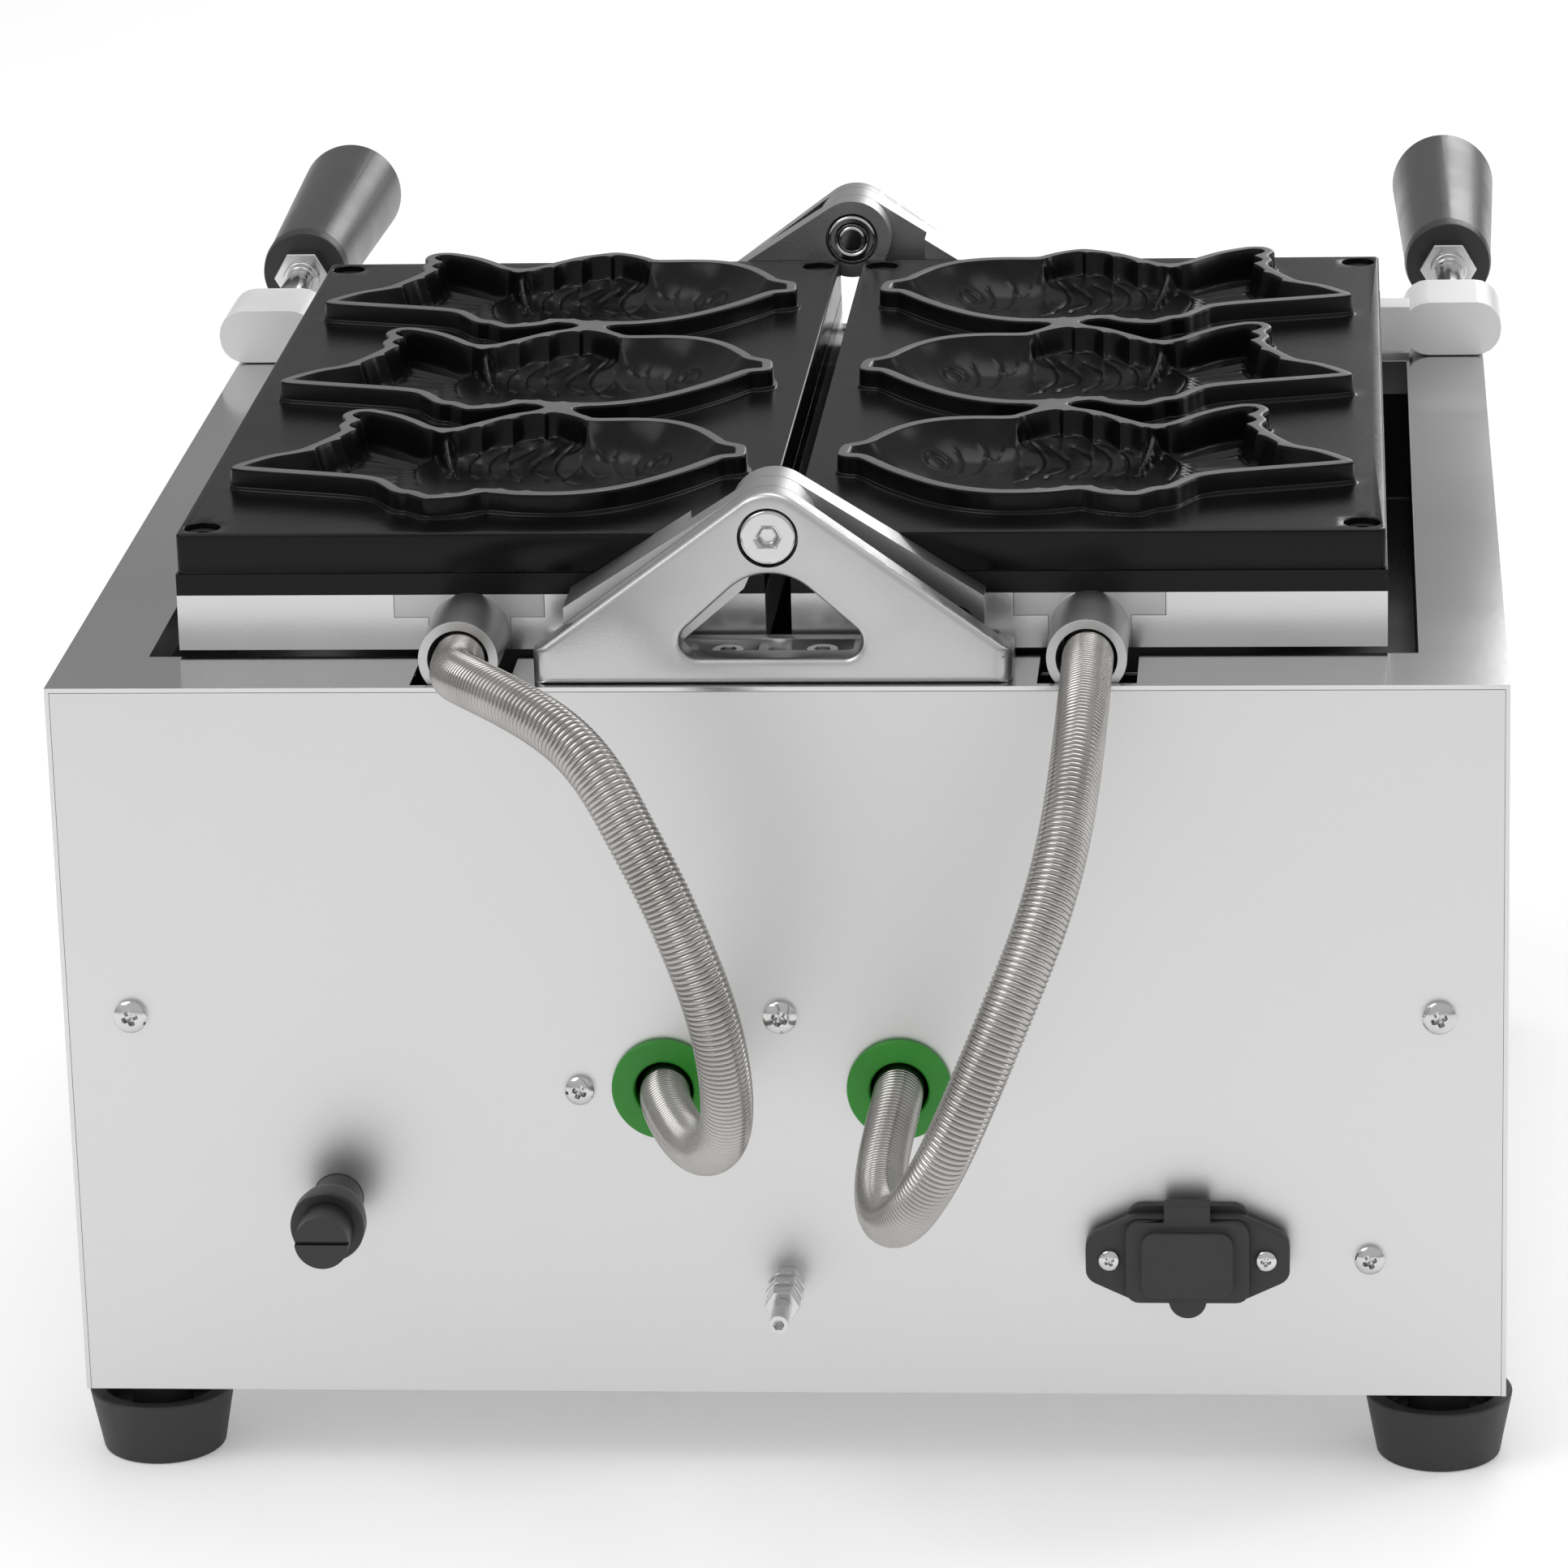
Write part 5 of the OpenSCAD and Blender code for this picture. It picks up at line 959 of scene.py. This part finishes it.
def make_brackets():
    """Each bracket: a plate with rounded edges and ends in front, and the solid's own base behind it."""
    b = BRACKET
    edges = outer, window, _ = bracket_loops()
    h, x0, z0 = 0.6, -64, -3
    gx, gz = np.meshgrid(np.arange(x0, 64.1, h), np.arange(z0, 64, h), indexing="ij")
    grid = np.column_stack([gx.ravel(), gz.ravel()])

    def edge_distance(q):
        return np.minimum(distance(q, outer, True)[0], distance(q, window, True)[0])

    def within(q):
        return (inside(q, outer, np.roll(outer, -1, axis=0))
                & ~inside(q, window, np.roll(window, -1, axis=0)))

    # The mesh follows the rounding of the edges and of the two ends
    field = (np.where(within(grid), 1, -1) * edge_distance(grid)).reshape(gx.shape)
    loops = [(q, loop_segs(len(q)), 0) for q in edges]
    for lv in (0.2, 0.55, 1.05, b["edge"]):
        q, seg = contour(field, x0, z0, h, lv)
        loops.append((q, seg, np.nan))
    for x in (60.2, 59.6, 58.6, 57.4, 56.0):
        for side in (-1, 1):
            q = np.column_stack([np.full(12, side * x), np.linspace(0.6, 7.6, 12)])
            loops.append((q, NO_SEGS, np.nan))
    v, _, tri = triangulate(loops, np.zeros((0, 2)))
    cen = v[tri].mean(1)
    tri = tri[within(cen) & (np.hypot(cen[:, 0], cen[:, 1] - b["pivot"]) > b["bore"] - 0.01)]

    def drop(r, d):
        """How far a rounding of radius r stands back at distance d from its edge."""
        return r - np.sqrt(np.maximum(r ** 2 - (r - np.clip(d, 0, r)) ** 2, 0))

    back = np.maximum(drop(b["edge"], edge_distance(v)), drop(b["ends"], b["half"] - np.abs(v[:, 0])))
    front = np.column_stack([v[:, 0], back, v[:, 1]])
    parts = [(front.tolist(), as_rows(tri))]
    for q in edges:
        n = len(q)
        near = [int(np.argmin(np.hypot(v[:, 0] - x, v[:, 1] - z))) for x, z in q]
        wall = [tuple(front[i]) for i in near] + [(x, b["depth"], z) for x, z in q]
        parts.append((wall, [(i, (i + 1) % n, n + (i + 1) % n, n + i) for i in range(n)]))
    verts, faces = join(parts)
    for node, sign in (("rear_bracket", 1), ("front_bracket", -1)):
        src = frame["nodes"][node]
        lo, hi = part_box(node)
        y0 = lo.y if sign > 0 else hi.y
        bm = bmesh.new()
        mesh = src.data.copy()
        mesh.transform(src.matrix_world)
        bm.from_mesh(mesh)
        cut = y0 + sign * b["depth"] / 1000
        bmesh.ops.bisect_plane(bm, geom=bm.verts[:] + bm.edges[:] + bm.faces[:], plane_co=(0, cut, 0),
                               plane_no=(0, -sign, 0), clear_outer=True)
        made = [bm.verts.new((sign * x / 1000, y0 + sign * y / 1000, lo.z + z / 1000)) for x, y, z in verts]
        for f in faces:
            if len(set(f)) == len(f):
                try:
                    bm.faces.new([made[i] for i in f])
                except ValueError:
                    # The face is there already
                    continue
        bmesh.ops.remove_doubles(bm, verts=bm.verts, dist=2e-6)
        bmesh.ops.recalc_face_normals(bm, faces=bm.faces)
        bm.to_mesh(mesh)
        bm.free()
        soften(mesh, 34)
        obj = bpy.data.objects.new(node + "_dressed", mesh)
        link(obj, BODY_OF[node], [MATS[SLOT_OF[node]]])
        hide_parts(node)


# Screws

# Nuts behind the panels and behind the inlet, as closed profiles of radius and distance along
PANEL_NUT = ((2.05, 0.05), (4.2, 0.05), (4.6, 0.4), (4.6, 3.6), (4.2, 3.95), (2.05, 3.95), (2.05, 0.05))
INLET_NUT = ((1.55, 0.05), (2.7, 0.05), (3.0, 0.4), (3.0, 2.3), (2.7, 2.6), (1.55, 2.6), (1.55, 0.05))
# The rear panel's screws: place and radius of the head
REAR_SCREWS = ((-167.5, 104, 4.3), (0, 104, 4.3), (167.5, 104, 4.3), (-52, 84, 3.8), (150, 38, 3.8))


def cross_head(x, y, z, r, h, sign, turn, sides=72):
    """A domed pan head on a wall at y, standing out along sign * Y, with a cross recess."""
    radii = np.concatenate([np.linspace(0.02, 0.62, 26), [0.70, 0.79, 0.87, 0.93, 0.97, 1.0, 1.0]]) * r
    c, s = math.cos(turn), math.sin(turn)
    verts = []
    for i, rr in enumerate(radii):
        for k in range(sides):
            t = 2 * math.pi * k / sides
            px, pz = rr * math.cos(t), rr * math.sin(t)
            # The last ring stands on the wall
            top = h * math.sqrt(max(0.0, 1 - (rr / (1.12 * r)) ** 2)) ** 0.8 if i < len(radii) - 1 else 0.0
            qx, qz = abs(px * c + pz * s), abs(-px * s + pz * c)
            cut = max(0.0, 1 - max(0.0, min(qx, qz) - 0.10 * r) / (0.07 * r))
            cut *= max(0.0, 1 - max(0.0, max(qx, qz) - 0.34 * r) / (0.16 * r))
            core = max(0.0, 1 - rr / (0.36 * r))
            top -= h * (0.62 * min(1, cut) + 0.15 * core)
            verts.append((x + px, y + sign * max(top, 0.0), z + pz))
    faces = ring_faces(len(radii), sides) + [tuple(range(sides))]
    return verts, faces


def shank(full, end):
    """Profile of a panel screw's shank, full width up to one distance and narrowed to its end at another."""
    return [(0.05, 0), (2.0, 0), (2.0, full), (1.6, end), (0.05, end)]


def make_panel_screws():
    parts = []
    for i, (x, z, r) in enumerate(REAR_SCREWS):
        parts.append(cross_head(x, -0.03, z, r, 2.75, -1, 0.35 + 0.8 * i))
        thick = 2.5 if abs(x) > 160 else 1.2
        parts.append(lathe(shank(thick + 5.0, thick + 5.3), (x, -0.02, z), 20))
        parts.append(lathe(PANEL_NUT, (x, thick, z), 6))
    for x in (-167.5, 167.5):
        for z in (20, 172):
            parts.append(cross_head(x, 350.03, z, 3.8, 2.75, 1, 0.3 + z + x))
            parts.append(lathe(shank(-7.2, -7.5), (x, 350.02, z), 20))
            parts.append(lathe([(r, -a) for r, a in PANEL_NUT], (x, 347.5, z), 6))
    v, f = join(parts)
    obj = from_data("panel_screws_dressed", v, f, "base", SLOT_OF["panel_screws"], angle=32)
    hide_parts("panel_screws")


def make_inlet_screws():
    parts = []
    for i, x in enumerate((83.5, 123.5)):
        parts.append(cross_head(x, -7.25, 40.4, 2.7, 1.75, -1, 0.5 + i))
        parts.append(lathe([(0.05, 0), (1.5, 0), (1.5, 11.0), (0.05, 11.0)], (x, -7.2, 40.4), 16))
        parts.append(lathe(INLET_NUT, (x, 1.25, 40.4), 6))
    v, f = join(parts)
    obj = from_data("inlet_screws_dressed", v, f, "base", SLOT_OF["inlet_screws"], angle=32)
    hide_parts("inlet_screws")


# Other pieces and studio
def make_rounded():
    """Every piece that isn't built above, as its own solid with broken edges of these widths."""
    widths = {
        "housing": 0.7, "rear_panel": 0.25, "front_panel": 0.25, "bottom_plate": 0.25, "well_tray": 0.5,
        "rubber_feet": 0.8, "foot_screws": 0.3, "bracket_screws": 0.4,
        "rear_pivot_bolt": 1.3, "front_pivot_bolt": 1.3, "hose_grommets": 0.8, "fuse_holder": 0.6,
        "fuse_cap": 0.7, "inlet_gasket": 0.5, "inlet_socket": 0.5, "inlet_frame": 0.5, "inlet_flap": 0.6,
        "ground_stud": 0.3, "ground_nuts": 0.4, "thermostat": 0.5, "thermostat_knob": 0.8, "timer": 0.5,
        "timer_knob": 0.8, "switch_body": 0.5, "switch_rocker": 0.5, "indicator_lamps": 0.5,
        "terminal_block": 0.6, "glass_fuse": 0.3,
    }
    for side in ("left_", "right_"):
        widths.update({
            side + "heater_plate": 0.5, side + "base_shell": 0.7, side + "hose_boss": 0.8,
            side + "rear_arm": 0.6, side + "front_arm": 0.6, side + "socket_screws": 0.4,
            side + "handle_lug": 1.6, side + "handle_stud": 0.4, side + "handle_nut": 0.5,
            side + "handle_ferrule": 0.5, side + "handle_grip": 1.2,
        })
    own_look = {"rear_panel": "panel_sheet", "left_hose_boss": "boss_steel",
                "right_hose_boss": "boss_steel"}
    for node, w in widths.items():
        rounded_copy(node, w, 3 if w >= 0.8 else 2, MATS[own_look.get(node, SLOT_OF[node])])


def make_studio():
    mesh = bpy.data.meshes.new("floor")
    r = 6.0
    mesh.from_pydata([(-r, -r, 0), (r, -r, 0), (r, r, 0), (-r, r, 0)], [], [(0, 1, 2, 3)])
    floor = bpy.data.objects.new("floor", mesh)
    bpy.context.scene.collection.objects.link(floor)
    n = Nodes("floor")
    n.finish(n.colours(n.noise(3, 2), grey(0.90), grey(0.92)), Roughness=0.6, Specular_IOR_Level=0.2,
             Emission_Color=(1, 1, 1, 1), Emission_Strength=0.24)
    mesh.materials.append(n.m)

    bpy.context.scene.view_settings.view_transform = "Standard"
    world = bpy.data.worlds.new("studio")
    bpy.context.scene.world = world
    world.use_nodes = True
    t = world.node_tree
    bg = t.nodes["Background"]
    co = t.nodes.new("ShaderNodeTexCoord")
    sep = t.nodes.new("ShaderNodeSeparateXYZ")
    ramp = t.nodes.new("ShaderNodeValToRGB")
    t.links.new(co.outputs["Generated"], sep.inputs[0])
    tilt = t.nodes.new("ShaderNodeMath")
    tilt.operation = "MULTIPLY_ADD"
    tilt.inputs[1].default_value = -0.4
    t.links.new(sep.outputs["Y"], tilt.inputs[0])
    t.links.new(sep.outputs["Z"], tilt.inputs[2])
    t.links.new(tilt.outputs[0], ramp.inputs["Fac"])
    e = ramp.color_ramp.elements
    e[0].position, e[0].color = 0.0, (0.50, 0.50, 0.50, 1)
    e[1].position, e[1].color = 0.55, (1.0, 1.0, 1.0, 1)
    t.links.new(ramp.outputs["Color"], bg.inputs["Color"])
    bg.inputs["Strength"].default_value = 0.62

    def area(name, place, aim, size, watts, size_y=None):
        light = bpy.data.lights.new(name, "AREA")
        light.energy = watts
        light.shape = "RECTANGLE" if size_y else "SQUARE"
        light.size = size
        if size_y:
            light.size_y = size_y
        o = bpy.data.objects.new(name, light)
        bpy.context.scene.collection.objects.link(o)
        o.location = place
        o.rotation_euler = (Vector(aim) - Vector(place)).to_track_quat("-Z", "Y").to_euler()

    area("key", (-1.3, -1.2, 2.2), (0, -0.1, 0.15), 1.4, 16)
    area("top", (0.3, 0.4, 2.3), (0, 0, 0.2), 1.6, 12, 1.0)
    area("right_strip", (2.0, 0.6, 0.9), (0, 0, 0.2), 0.4, 7, 1.6)
    area("back", (0.7, 2.4, 1.0), (0, 0, 0.25), 0.9, 7, 0.9)


make_camera()
make_hoses()
make_mould_plates()
make_panel_screws()
make_inlet_screws()
make_brackets()
make_rounded()
make_studio()

for node, obj in frame["nodes"].items():
    obj.data.materials.clear()
    obj.data.materials.append(MATS[SLOT_OF[node]])
